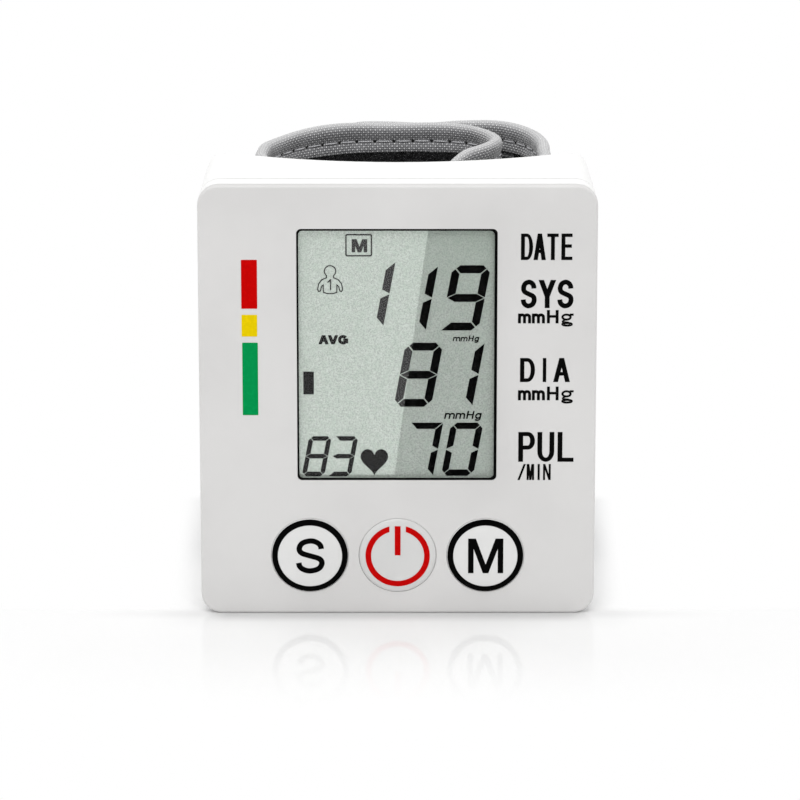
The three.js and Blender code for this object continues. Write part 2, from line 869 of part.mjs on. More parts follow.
function cuffHose() {
  const start = at(airOffset, manifoldY, manifoldMiddle - manifoldReach);
  const end = at(0, nozzleRoot - seatGap, nozzleHeight);
  const between = [at(airOffset * cuffHoseShare, manifoldY + hoseOuter / 2, nozzleHeight + hoseLead)];
  return hose(start, down, end, forward, between);
}

// Mount plate between the case and the cuff, as wide as the cuff's saddle
const saddleLeft = leftRootInset - leftRadius;
const saddleRight = rightRadius - rightRootInset;
const saddleOffset = seamGap * 2 + plateThickness;

function strip(inner, outer, bottom, top) {
  return wallUpright(new THREE.Shape([...inner, ...outer.slice().reverse()]), bottom, top);
}

function cradleArc(from, to, offset) {
  const points = [];
  for (let step = 0; step <= 2 * fineSteps; step += 1) {
    const x = from + ((to - from) * step) / (2 * fineSteps);
    points.push(new THREE.Vector2(x, cradleSurface(x, offset)));
  }
  return points;
}

function mountPlate() {
  const front = cradleArc(saddleLeft, saddleRight, seamGap);
  const back = cradleArc(saddleLeft, saddleRight, seamGap + plateThickness);
  const plate = strip(front, back, plateBottom, plateTop);
  const pegs = hooks(0, cradleSurface(hookSpread, -wall - hookReach));
  return cut(joined([plate, ...pegs]), [nozzleHoles(nozzleRadius + seamGap)]);
}

// Cuff: one band in a spiral, as a plan curve of its outer face. It runs from the tip of the inner flap
// round the back and the left side, over the saddle in the cradle, and round the right side to the tip
// of the outer flap. Places are shares of the loop's half widths and of its run behind the flap roots.
const rootDepth = cradleSurface(saddleLeft, saddleOffset) + rootRise;
const loopRun = loopDepth - rootDepth;
const innerPlanShares = [
  [0.33, -0.02],
  [0.52, 0.1],
  [0.7, 0.27],
  [0.81, 0.5],
  [0.79, 0.71],
  [0.62, 0.9],
  [0.37, 0.985],
  [0, 1],
  [-0.38, 0.95],
  [-0.74, 0.76],
  [-0.95, 0.48],
  [-1.005, 0.25],
  [-1, 0],
];
const outerPlanShares = [
  [0.985, 0],
  [1, 0.25],
  [0.995, 0.5],
  [0.945, 0.74],
  [0.83, 0.93],
  [0.66, 1.05],
];
const innerBendShares = innerPlanShares[9];
const outerBendShares = outerPlanShares[4];
const overlapShares = [0.4, 0.47, 0.54, 0.61, 0.68];

function leftPlace([across, along]) {
  return new THREE.Vector2(across * leftRadius, rootDepth + along * loopRun);
}

function rightPlace([across, along]) {
  return new THREE.Vector2(across * rightRadius, rootDepth + along * loopRun);
}

function offsetPoint(curve, share, offset) {
  const tangent = curve.getTangentAt(share);
  const inward = new THREE.Vector2(-tangent.y, tangent.x);
  return curve.getPointAt(share).addScaledVector(inward, offset);
}

const innerFlap = new THREE.SplineCurve(innerPlanShares.map(leftPlace));
const layerStep = bandThickness + layerGap;
const bandCurve = new THREE.SplineCurve([
  ...innerPlanShares.map(leftPlace),
  ...cradleArc(saddleLeft, saddleRight, saddleOffset),
  ...outerPlanShares.map(rightPlace),
  ...overlapShares.map((share) => offsetPoint(innerFlap, share, -layerStep)),
]);
bandCurve.arcLengthDivisions = bandDivisions;
const bandLength = bandCurve.getLength();
const bandSamples = bandCurve.getSpacedPoints(bandDivisions);

function shareAt(place) {
  const distances = bandSamples.map((sample) => sample.distanceTo(place));
  return distances.indexOf(Math.min(...distances)) / bandDivisions;
}

const hinges = {
  inner_tip: shareAt(leftPlace(innerBendShares)),
  inner_root: shareAt(leftPlace(innerPlanShares.at(-1))),
  outer_root: shareAt(rightPlace(outerPlanShares[0])),
  outer_tip: shareAt(rightPlace(outerBendShares)),
};

function band(from, to, near, far, bottom, top) {
  const run = (to - from) * bandLength;
  const steps = Math.max(1, Math.round(run / bandStep));
  const shares = Array.from({ length: steps + 1 }, (_, i) => from + ((to - from) * i) / steps);
  const outer = shares.map((share) => offsetPoint(bandCurve, share, near));
  const inner = shares.map((share) => offsetPoint(bandCurve, share, far));
  return strip(outer, inner, bottom, top);
}

const hemInset = hemDepth + seatGap;
const rimInset = rimDepth + seatGap;
const halfSeam = seamGap / 2 / bandLength;

// A stretch of the band between two shares. Its ends are hinge seams, except at a flap's tip, where
// the cover closes over the edge.
const stretches = {
  inner_back: { from: 0, to: hinges.inner_tip - halfSeam, tip: "start" },
  inner_side: { from: hinges.inner_tip + halfSeam, to: hinges.inner_root - halfSeam },
  saddle: { from: hinges.inner_root + halfSeam, to: hinges.outer_root - halfSeam },
  outer_side: { from: hinges.outer_root + halfSeam, to: hinges.outer_tip - halfSeam },
  outer_back: { from: hinges.outer_tip + halfSeam, to: 1, tip: "end" },
};

function insetEnds(stretch, seam, tip) {
  const start = stretch.tip === "start" ? tip : seam;
  const end = stretch.tip === "end" ? tip : seam;
  return [stretch.from + start / bandLength, stretch.to - end / bandLength];
}

function cover(stretch) {
  const whole = band(stretch.from, stretch.to, 0, bandThickness, bandBottom, bandTop);
  const [faceFrom, faceTo] = insetEnds(stretch, -cutOverrun, hemDepth);
  const [pocketFrom, pocketTo] = insetEnds(stretch, -cutOverrun, rimDepth);
  const past = bandThickness + cutOverrun;
  const face = band(faceFrom, faceTo, bandCover, past, bandBottom + hemDepth, bandTop - hemDepth);
  const pocketBack = bandThickness - bandCover;
  const pocket = band(pocketFrom, pocketTo, bandCover, pocketBack, bandBottom + rimDepth, bandTop - rimDepth);
  return cut(whole, [face, pocket]);
}

function lining(stretch) {
  const [from, to] = insetEnds(stretch, 0, hemInset);
  const near = bandThickness - bandCover;
  return band(from, to, near, bandThickness, bandBottom + hemInset, bandTop - hemInset);
}

function filling(stretch) {
  const [from, to] = insetEnds(stretch, 0, rimInset);
  const near = bandCover + seatGap;
  return band(from, to, near, near + bandBladder, bandBottom + rimInset, bandTop - rimInset);
}

function loopPatch() {
  const stretch = stretches.inner_back;
  const from = stretch.to - (stretch.to - stretch.from) * loopPatchShare;
  const near = -seatGap - loopPatchThickness;
  return band(from, stretch.to, near, -seatGap, bandBottom + loopPatchInset, bandTop - loopPatchInset);
}

// Assembly
function piece(name, solid, material, x = 0, y = 0, z = 0) {
  const mesh = new THREE.Mesh(geometryOf(solid), material);
  mesh.name = name;
  mesh.position.set(x, y, z);
  return mesh;
}

function group(...members) {
  const set = new THREE.Group();
  set.add(...members);
  return set;
}

const housing = group(
  piece("fascia_panel", fascia(), panelGrey),
  piece("window_lens", lens(), clearPlastic),
  piece("front_case", frontCase(), caseWhite),
  piece("rear_case", rearCase(), caseWhite),
  piece("battery_cover", batteryCover(), caseWhite),
);
const caseScrew = screw(screwRadius, screwHeadRadius, screwHeadThickness, screwLength);
for (const [place, x, z] of bossPlaces) {
  housing.add(piece("case_screw_" + place, caseScrew, steel, x, screwHeadFront, z));
}

const display = group(
  piece("lcd_gasket", gasket(), darkRubber),
  piece("lcd_glass", glass(), displayGreen),
  piece("lcd_frame", glassHolder(), trayBlack),
  piece("lcd_connector", connector(), darkRubber),
);

const electronics = group(piece("main_board", board(), boardGreen));
const chipHalf = chipWidth / 2;
const chip = block(-chipHalf, chipHalf, 0, chipThickness, -chipHalf, chipHalf);
electronics.add(piece("controller_chip", chip, chipBlack, chipOffset, partFront, chipMiddle));
const buzzer = rodAlongDepth(buzzerRadius, 0, 0, 0, buzzerThickness);
electronics.add(piece("buzzer", buzzer, chipBlack, buzzerOffset, partFront, buzzerMiddle));
electronics.add(piece("pressure_sensor", pressureSensor(), chipBlack, sensorOffset, partFront, sensorBottom));
const boardScrew = screw(boardScrewRadius, boardScrewHead, boardScrewHeadThickness, boardScrewLength);
for (const [place, x] of standoffPlaces) {
  electronics.add(piece("board_screw_" + place, boardScrew, steel, x, partFront, standoffHeight));
}
for (const [place, x] of buttonPlaces) {
  electronics.add(piece(place + "_switch", keySwitch(), chipBlack, x, 0, buttonMiddle));
}

const buttons = new THREE.Group();
for (const [place, x] of buttonPlaces) {
  buttons.add(piece(place + "_button", buttonCap(), buttonWhite, x, 0, buttonMiddle));
}

const springTop = bayBottom + seatGap + springHeight + seatGap;
const contactTop = bayBottom + seatGap + contactThickness + seatGap;
const upperContact = bayTop - seatGap - contactThickness;
const power = group(
  piece("battery_tray", batteryTray(), trayBlack),
  piece("battery_cell_front", cell(), cellJacket, cellX, cellFrontY, springTop),
  piece("battery_cell_rear", cell().mirror([0, 0, 1]), cellJacket, cellX, cellRearY, contactTop + cellTotal),
  piece("battery_spring_lower", batterySpring(), steel, cellX, cellFrontY, bayBottom + seatGap),
  piece("battery_spring_upper", batterySpring(), steel, cellX, cellRearY, bayTop - seatGap - springHeight),
  piece("battery_contact_lower", contactPlate(), steel, cellX, cellRearY, bayBottom + seatGap),
  piece("battery_contact_upper", contactPlate(), steel, cellX, cellFrontY, upperContact),
);

const airPath = group(
  piece("pump_motor", rodUpright(motorRadius, 0, 0, 0, motorLength), steel, pumpX, pumpY, motorBottom),
  piece("pump_head", pumpHead(), trayBlack, pumpX, pumpY, motorBottom + motorLength + seatGap),
  piece("pump_sleeve", pumpSleeve(), darkRubber, pumpX, pumpY, 0),
  piece("exhaust_valve", valve(), trayBlack, airOffset, manifoldY, valveBottom),
  piece("air_manifold", airManifold(), trayBlack, airOffset, manifoldY, manifoldMiddle),
  piece("pump_hose", pumpHose(), siliconeHose),
  piece("valve_hose", valveHose(), siliconeHose),
  piece("sensor_hose", sensorHose(), siliconeHose),
  piece("cuff_hose", cuffHose(), siliconeHose),
  piece("cuff_nozzle", nozzle(), trayBlack),
);

const saddleCover = cover(stretches.saddle).subtract(nozzleHoles(nozzleRadius + seamGap));
const cuff = group(
  piece("cuff_mount_plate", mountPlate(), trayBlack),
  piece("cuff_saddle_cover", saddleCover, wovenGrey),
  piece("loop_patch", loopPatch(), wovenGrey),
);
for (const place of ["inner_side", "inner_back", "outer_side", "outer_back"]) {
  cuff.add(piece("cuff_" + place + "_cover", cover(stretches[place]), wovenGrey));
}
for (const place of ["saddle", "inner_side", "inner_back", "outer_side"]) {
  cuff.add(piece("cuff_" + place + "_lining", lining(stretches[place]), meshBlack));
}
cuff.add(piece("hook_patch", lining(stretches.outer_back), meshBlack));
for (const place of ["saddle", "inner_side", "inner_back"]) {
  cuff.add(piece("bladder_" + place, filling(stretches[place]), bladderGrey));
}
for (const place of ["outer_side", "outer_back"]) {
  cuff.add(piece("stiffener_" + place, filling(stretches[place]), bladderGrey));
}

const monitor = group(housing, display, electronics, buttons, power, airPath, cuff);
const bounds = new THREE.Box3().setFromObject(monitor);
const middle = bounds.getCenter(new THREE.Vector3());
for (const set of monitor.children) {
  set.position.set(-middle.x, -middle.y, -bounds.min.z);
}
monitor.userData.hinges = {};
for (const [name, share] of Object.entries(hinges)) {
  const place = bandCurve.getPointAt(share);
  monitor.userData.hinges[name] = [place.x - middle.x, place.y - middle.y, 0];
}

export default monitor;
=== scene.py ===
import math

import bmesh
import bpy
from bpy.props import FloatProperty, FloatVectorProperty, PointerProperty, StringProperty
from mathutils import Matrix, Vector


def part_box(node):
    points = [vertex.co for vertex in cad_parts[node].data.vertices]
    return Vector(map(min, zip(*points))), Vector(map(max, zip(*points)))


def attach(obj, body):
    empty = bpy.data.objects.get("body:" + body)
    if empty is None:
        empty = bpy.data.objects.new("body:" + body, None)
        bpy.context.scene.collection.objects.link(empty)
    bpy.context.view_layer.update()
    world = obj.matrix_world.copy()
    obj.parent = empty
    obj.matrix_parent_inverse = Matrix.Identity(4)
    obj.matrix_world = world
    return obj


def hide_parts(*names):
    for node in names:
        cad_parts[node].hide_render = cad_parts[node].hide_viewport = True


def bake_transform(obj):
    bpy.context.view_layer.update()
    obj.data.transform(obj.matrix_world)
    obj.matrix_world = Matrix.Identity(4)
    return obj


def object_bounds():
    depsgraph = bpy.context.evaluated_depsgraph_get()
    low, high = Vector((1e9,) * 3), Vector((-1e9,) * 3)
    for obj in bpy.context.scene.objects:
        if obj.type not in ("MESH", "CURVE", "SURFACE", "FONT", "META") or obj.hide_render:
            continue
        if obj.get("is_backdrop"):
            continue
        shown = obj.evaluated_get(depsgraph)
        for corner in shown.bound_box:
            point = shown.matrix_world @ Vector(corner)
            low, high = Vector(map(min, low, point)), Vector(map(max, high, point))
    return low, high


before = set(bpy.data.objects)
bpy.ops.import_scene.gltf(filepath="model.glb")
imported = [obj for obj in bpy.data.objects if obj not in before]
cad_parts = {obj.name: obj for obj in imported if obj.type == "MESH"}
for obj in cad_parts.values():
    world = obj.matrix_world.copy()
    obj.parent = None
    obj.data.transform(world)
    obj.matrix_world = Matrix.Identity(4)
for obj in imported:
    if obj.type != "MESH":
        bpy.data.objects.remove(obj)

bl_info = {
    "name": "Wrist blood pressure monitor",
    "version": (1, 0, 0),
    "blender": (4, 5, 0),
    "location": "View3D > Sidebar > Monitor",
    "description": "Builds the visible pieces of a wrist blood pressure monitor around its packed solids",
    "category": "Add Mesh",
}

MM = 0.001


def paint(red, green, blue):
    """A colour given as it looks on a screen, 0 to 255, as linear light."""
    return tuple(
        level / 12.92 if level <= 0.04045 else ((level + 0.055) / 1.055) ** 2.4
        for level in (red / 255, green / 255, blue / 255)
    )


WHITE = (1.0, 1.0, 1.0)
# Painted shade inside the needle holes of the cuff's cover.
PAINTED_HOLE_SHADE = paint(12, 12, 13)

# Corners nearer to each other than this, in metres, are one
WELD = 1e-7


# Sizes and colours that a user would change

def size(name, description, default):
    return FloatProperty(name=name, description=description, default=default * MM, unit="LENGTH", precision=5)


def tint(name, description, *screen):
    return FloatVectorProperty(
        name=name, description=description, default=paint(*screen), subtype="COLOR", size=3, min=0, max=1
    )


class StageSettings(bpy.types.PropertyGroup):
    lens: FloatProperty(name="Lens", description="Focal length of the camera in millimetres", default=242.4)
    distance: size("Distance", "From the camera to the front panel", 950)
    elevation: FloatProperty(
        name="Elevation", description="Height of the camera over the horizon", default=math.radians(17.6),
        subtype="ANGLE",
    )
    aim_across: size("Aim across", "Where the camera aims, right of the middle of the panel", 0.42)
    aim_height: size("Aim height", "Height on the panel that the camera aims at", 39.9)
    floor_half: size("Floor half width", "Half the side of the square floor", 3000)
    fill: FloatProperty(name="Fill light", description="Strength of the light from all around", default=0.66)
    key: FloatProperty(name="Key light", description="Power of the large soft lamp in watts", default=13.9)
    rim: FloatProperty(name="Rim lights", description="Power of each lamp behind the part", default=2.2)
    mirror: FloatProperty(name="Floor mirror", description="Share of mirror at the base", default=0.16)
    mirror_reach: size("Mirror reach", "How far in front of the base the floor still mirrors", 55)
    # Contact is the width of the painted contact shadow that darkens the floor's colour round the base.
    contact: size("Contact", "Width of the dark line of contact round the base", 5)


class PanelSettings(bpy.types.PropertyGroup):
    corner: size("Corner", "Radius of the panel's corners", 3.7)
    edge: size("Edge", "Radius of the panel's front edge", 0.45)
    colour: tint("Panel colour", "Moulded plastic of the front panel", 218, 217, 216)
    ink: tint("Ink", "Print of the words on the panel", 5, 5, 5)
    high: tint("High bar", "Upper bar of the pressure scale", 194, 1, 1)
    middle: tint("Middle bar", "Middle bar of the pressure scale", 227, 199, 3)
    low: tint("Low bar", "Lower bar of the pressure scale", 2, 143, 75)


class WindowSettings(bpy.types.PropertyGroup):
    left: size("Left edge", "Left edge of the window", -17.74)
    right: size("Right edge", "Right edge of the window", 17.5)
    bottom: size("Bottom edge", "Bottom edge of the window", 24.97)
    top: size("Top edge", "Top edge of the window", 71.22)
    corner: size("Corner", "Radius of the window's corners", 0.85)


class DisplaySettings(bpy.types.PropertyGroup):
    upper: StringProperty(name="Upper pressure", description="First figures of the display", default="119")
    lower: StringProperty(name="Lower pressure", description="Second figures of the display", default="81")
    pulse: StringProperty(name="Pulse", description="Third figures of the display", default="70")
    memory: StringProperty(name="Memory place", description="Small figures of the display", default="83")
    slant: FloatProperty(name="Slant", description="Lean of the figures, across for each up", default=0.183)
    glass: tint("Glass colour", "Grey green of the resting display", 195, 203, 196)
    segment: tint("Segment colour", "A segment that is switched on", 12, 12, 12)


class ButtonSettings(bpy.types.PropertyGroup):
    radius: size("Radius", "Radius of a button", 6.75)
    ring: size("Ring", "Width of the printed ring", 1.03)
    power_ring: size("Power ring", "Outer radius of the ring on the middle button", 5.72)
    face: tint("Button colour", "Faces of the buttons", 226, 226, 225)
    centre: tint("Power button colour", "Face of the middle button", 215, 215, 214)
    dark: tint("Ring colour", "Ring and letter of the outer buttons", 3, 3, 3)
    red: tint("Power colour", "Ring and bar of the middle button", 190, 4, 4)


class CaseSettings(bpy.types.PropertyGroup):
    colour: tint("Case colour", "White moulded plastic of the case", 246, 246, 245)
    edge: size("Edge", "Rounding of the case's sharp edges", 0.2)


class CuffSettings(bpy.types.PropertyGroup):
    thread: size("Thread", "Width of one thread of the woven cover", 0.46)
    stitch: size("Stitch", "Length of one stitch with its gap", 3.6)
    seam: size("Seam", "From the rim down to the line of stitches", 3.25)
    hem: size("Hem", "Depth of the hem on the inside", 5.4)
    corner: size("Corner", "Rounding of a flap's free end", 8)
    dark: tint("Weave colour", "Ground of the woven cover", 157, 157, 160)
    light: tint("Thread colour", "Raised threads of the woven cover", 240, 240, 240)
    lining: tint("Lining colour", "Black mesh on the inside", 15, 15, 16)


SETTINGS = {
    "monitor_stage": StageSettings,
    "monitor_panel": PanelSettings,
    "monitor_window": WindowSettings,
    "monitor_display": DisplaySettings,
    "monitor_buttons": ButtonSettings,
    "monitor_case": CaseSettings,
    "monitor_cuff": CuffSettings,
}


# Selection, edit mode and modifiers

def deselect():
    if bpy.context.mode != "OBJECT":
        bpy.ops.object.mode_set(mode="OBJECT")
    bpy.ops.object.select_all(action="DESELECT")


def only(piece):
    deselect()
    piece.select_set(True)
    bpy.context.view_layer.objects.active = piece


def named(name):
    piece = bpy.context.active_object
    piece.name = name
    piece.data.name = name
    return piece


def added(name, data):
    """A new object of the scene, for a mesh, curve, lamp or camera."""
    holder = bpy.data.objects.new(name, data)
    bpy.context.scene.collection.objects.link(holder)
    return holder


def settle(piece):
    """Puts a piece's place, turn and scale into its mesh."""
    only(piece)
    bpy.ops.object.transform_apply(location=True, rotation=True, scale=True)
    return piece


class Editing:
    """Edit mode on one piece, with all of it picked until a test picks less for the next tool."""

    def __init__(self, piece, kind="FACE"):
        self.piece = piece
        self.kind = kind

    def __enter__(self):
        only(self.piece)
        bpy.ops.object.mode_set(mode="EDIT")
        bpy.ops.mesh.select_mode(type=self.kind)
        bpy.ops.mesh.select_all(action="SELECT")
        return self

    def __exit__(self, *problem):
        bpy.ops.object.mode_set(mode="OBJECT")

    def pick(self, test):
        bpy.ops.mesh.select_all(action="DESELECT")
        mesh = bmesh.from_edit_mesh(self.piece.data)
        for item in mesh.faces if self.kind == "FACE" else mesh.edges:
            if test(item):
                item.select_set(True)
        bmesh.update_edit_mesh(self.piece.data)


def apply_modifier(piece, kind, **settings):
    only(piece)
    modifier = piece.modifiers.new(kind.title(), kind)
    for name, value in settings.items():
        setattr(modifier, name, value)
    bpy.ops.object.modifier_apply(modifier=modifier.name)


def cut(piece, tools):
    """Cuts tools out of a piece. The tools are used up."""
    for tool in tools:
        apply_modifier(piece, "BOOLEAN", operation="DIFFERENCE", object=tool, solver="EXACT")
        bpy.data.objects.remove(tool, do_unlink=True)


def soften(piece, angle=35):
    only(piece)
    bpy.ops.object.shade_smooth_by_angle(angle=math.radians(angle))


def round_edges(piece, width, sharp, smooth):
    """Rounds the edges sharper than one angle, then shades across those softer than another one."""
    limit = math.radians(sharp)
    apply_modifier(piece, "BEVEL", width=width, segments=2, limit_method="ANGLE", angle_limit=limit)
    soften(piece, smooth)
    apply_modifier(piece, "WEIGHTED_NORMAL", keep_sharp=True)


def outward(piece, weld=None):
    """Turns all faces outwards. Corners nearer to each other than weld are merged first."""
    with Editing(piece, "VERT"):
        if weld:
            bpy.ops.mesh.remove_doubles(threshold=weld)
        bpy.ops.mesh.normals_make_consistent(inside=False)


def join(pieces):
    only(pieces[0])
    for piece in pieces[1:]:
        piece.select_set(True)
    bpy.ops.object.join()
    return bpy.context.active_object


def depth_share(edge):
    """1 for an edge along the depth, 0 for one across it."""
    return abs((edge.verts[0].co - edge.verts[1].co).normalized().y)


# Forms that several pieces start from

def block(name, low, high):
    deselect()
    bpy.ops.mesh.primitive_cube_add(size=1, location=(Vector(low) + Vector(high)) / 2 * MM)
    piece = named(name)
    piece.scale = (Vector(high) - Vector(low)) * MM
    return settle(piece)


def rod(name, radius, x, z, front, back, sides):
    """A rod along the depth."""
    deselect()
    bpy.ops.mesh.primitive_cylinder_add(
        vertices=sides, radius=radius * MM, depth=(back - front) * MM,
        location=Vector((x, (front + back) / 2, z)) * MM, rotation=(math.pi / 2, 0, 0),
    )
    return settle(named(name))


def plate(name, left, right, bottom, top, front, back, corner):
    """An upright plate with rounded corners."""
    piece = block(name, (left, front, bottom), (right, back, top))
    with Editing(piece, "EDGE") as editing:
        editing.pick(lambda edge: depth_share(edge) > 0.99)
        bpy.ops.mesh.bevel(offset=corner * MM, segments=10, affect="EDGES")
    return piece


def turned(name, stations, x, z, sides, ring=False):
    """A form turned about an axis along the depth, through stations of radius and depth.
    A ring comes back to its first station and has no ends."""
    deselect()
    radius, depth = stations[0]
    bpy.ops.mesh.primitive_circle_add(
        vertices=sides, radius=radius * MM, fill_type="NOTHING" if ring else "NGON",
        location=Vector((x, depth, z)) * MM, rotation=(math.pi / 2, 0, 0),
    )
    piece = settle(named(name))
    extrude = bpy.ops.mesh.extrude_edges_move if ring else bpy.ops.mesh.extrude_region_move
    with Editing(piece, "EDGE") as editing:
        for next_radius, next_depth in stations[1:]:
            extrude(TRANSFORM_OT_translate={"value": (0, (next_depth - depth) * MM, 0)})
            share = next_radius / radius
            centre = Vector((x, next_depth, z)) * MM
            bpy.ops.transform.resize(value=(share, 1, share), center_override=centre)
            radius, depth = next_radius, next_depth
        if ring:
            ends = [stations[0][1] * MM, depth * MM]
            editing.pick(lambda edge: len(edge.link_faces) == 1 and any(
                abs(edge.verts[0].co.y - end) < WELD for end in ends
            ))
            bpy.ops.mesh.bridge_edge_loops()
    outward(piece)
    return piece


def flat(name, loops, front, back):
    """Flat upright forms of one thickness, from closed outlines of (across, height). A loop inside
    another one is a hole."""
    curve = bpy.data.curves.new(name, "CURVE")
    curve.dimensions = "2D"
    curve.fill_mode = "BOTH"
    curve.extrude = (back - front) / 2 * MM
    for loop in loops:
        spline = curve.splines.new("POLY")
        spline.points.add(len(loop) - 1)
        spline.use_cyclic_u = True
        for point, (across, height) in zip(spline.points, loop):
            point.co = (across * MM, height * MM, 0, 1)
    only(added(name, curve))
    bpy.ops.object.convert(target="MESH")
    piece = named(name)
    piece.rotation_euler = (math.pi / 2, 0, 0)
    piece.location = (0, (front + back) / 2 * MM, 0)
    outward(settle(piece), WELD)
    return piece


def smooth_copy(name, node, edge):
    """A copy of a node's mesh with its corners merged and its sharp edges rounded."""
    piece = added(name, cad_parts[node].data.copy())
    piece.data.name = name
    with Editing(piece, "VERT"):
        bpy.ops.mesh.remove_doubles(threshold=2e-6)
        bpy.ops.mesh.dissolve_limited(angle_limit=math.radians(0.6))
    round_edges(piece, edge, 50, 32)
    return piece


def coated(piece, material, slot, *nodes):
    """Gives a piece its finish, and hides the nodes that it stands for."""
    piece.data.materials.clear()
    piece.data.materials.append(material)
    if nodes:
        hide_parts(*nodes)


def finished(piece, material, slot, body, *nodes):
    """Gives a piece its finish and the body that it moves with."""
    coated(piece, material, slot, *nodes)
    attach(piece, body)


def corners_of(node):
    """The low and the high corner of a node in millimetres."""
    low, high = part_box(node)
    return low / MM, high / MM


# Outlines, as lists of points of (across, height)

def oblong(left, right, bottom, top):
    return [(left, bottom), (right, bottom), (right, top), (left, top)]


def spot(across, height, wide, tall, degrees):
    """The point of an ellipse at one angle."""
    angle = math.radians(degrees)
    return across + wide * math.cos(angle), height + tall * math.sin(angle)


def arc(across, height, wide, tall, start, end, steps=12):
    """Points of an elliptic arc round a middle."""
    return [
        spot(across, height, wide, tall, start + (end - start) * step / steps)
        for step in range(steps + 1)
    ]


def rounded(left, right, bottom, top, radius, steps=6):
    centres = [
        (right - radius, bottom + radius, -90), (right - radius, top - radius, 0),
        (left + radius, top - radius, 90), (left + radius, bottom + radius, 180),
    ]
    loop = []
    for across, height, start in centres:
        loop += arc(across, height, radius, radius, start, start + 90, steps)
    return loop


def inset(edges, *gaps):
    """Left, right, bottom and top edge, each moved inwards by its gap."""
    return [edge + gap * side for edge, gap, side in zip(edges, gaps, (1, -1, 1, -1))]


def line_loops(points, width, closed=False):
    """The outlines of a line of even width through points."""
    count = len(points)
    left_side = []
    right_side = []
    for index, point in enumerate(points):
        here = Vector(point)
        before = here - Vector(points[index - 1]) if closed or index else None
        after = Vector(points[(index + 1) % count]) - here if closed or index + 1 < count else None
        before = (before or after).normalized()
        after = (after or before).normalized()
        run = (before + after).normalized()
        reach = width / 2 / max(0.4, run.dot(before))
        aside = Vector((-run.y, run.x)) * reach
        left_side.append(tuple(here + aside))
        right_side.append(tuple(here - aside))
    if closed:
        return [left_side, right_side]
    return [left_side + right_side[::-1]]


def smooth(points, steps=4):
    """A smooth curve through points, as points."""
    course = Course([Vector(point) for point in points])
    curve = [course.span(index, step / steps) for index in range(len(points) - 1) for step in range(steps)]
    return [tuple(point) for point in [*curve, course.places[-1]]]


# Plain letters, drawn as strokes of even width

def slanted_letter(letter, wide, tall, thick):
    """Letters with slanted strokes. Cut through on the level, a slanted stroke is a little wider."""
    span = 1.1 * thick
    middle = wide / 2
    if letter == "/":
        return [[(0, 0), (span, 0), (wide, tall), (wide - span, tall)]]
    if letter == "A":
        tip = 0.55 * thick
        lean = (middle - tip) / tall
        low, high = 0.27 * tall, 0.27 * tall + 0.85 * thick
        peak = (middle - span) / lean
        outside = [
            (0, 0), (middle - tip, tall), (middle + tip, tall), (wide, 0), (wide - span, 0),
            (wide - span - lean * low, low), (span + lean * low, low), (span, 0),
        ]
        return [outside, [(span + lean * high, high), (wide - span - lean * high, high), (middle, peak)]]
    if letter == "V":
        tip = 0.55 * thick
        lean = (middle - tip) / tall
        notch = tall - (middle - span) / lean
        fork = [(0, tall), (span, tall), (middle, notch), (wide - span, tall), (wide, tall)]
        return [[*fork, (middle + tip, 0), (middle - tip, 0)]]
    if letter == "Y":
        height = 0.4 * tall
        left, right = middle - thick / 2, middle + thick / 2
        lean = (middle - thick / 2) / (tall - height)
        notch = tall - (middle - span) / lean
        fork = [(0, tall), (span, tall), (middle, notch), (wide - span, tall), (wide, tall)]
        return [[*fork, (right, height), (right, 0), (left, 0), (left, height)]]
    if letter == "N":
        start = 1.05 * thick
        lean = (wide - 2 * start + span) / tall
        upper = tall - (wide - thick - start) / lean
        lower = tall - (thick - start + span) / lean
        return [[
            (0, 0), (0, tall), (start, tall), (wide - thick, upper), (wide - thick, tall), (wide, tall),
            (wide, 0), (wide - start, 0), (thick, lower), (thick, 0),
        ]]
    start, tip = min(1.4 * thick, 0.36 * wide), 0.5 * thick
    lean = (middle - start + span - tip) / tall
    notch = (span - tip) / lean
    lower = tall - (thick - start + span) / lean
    return [[
        (0, 0), (0, tall), (start, tall), (middle, notch), (wide - start, tall), (wide, tall), (wide, 0),
        (wide - thick, 0), (wide - thick, lower), (middle + tip, 0), (middle - tip, 0), (thick, lower),
        (thick, 0),
    ]]


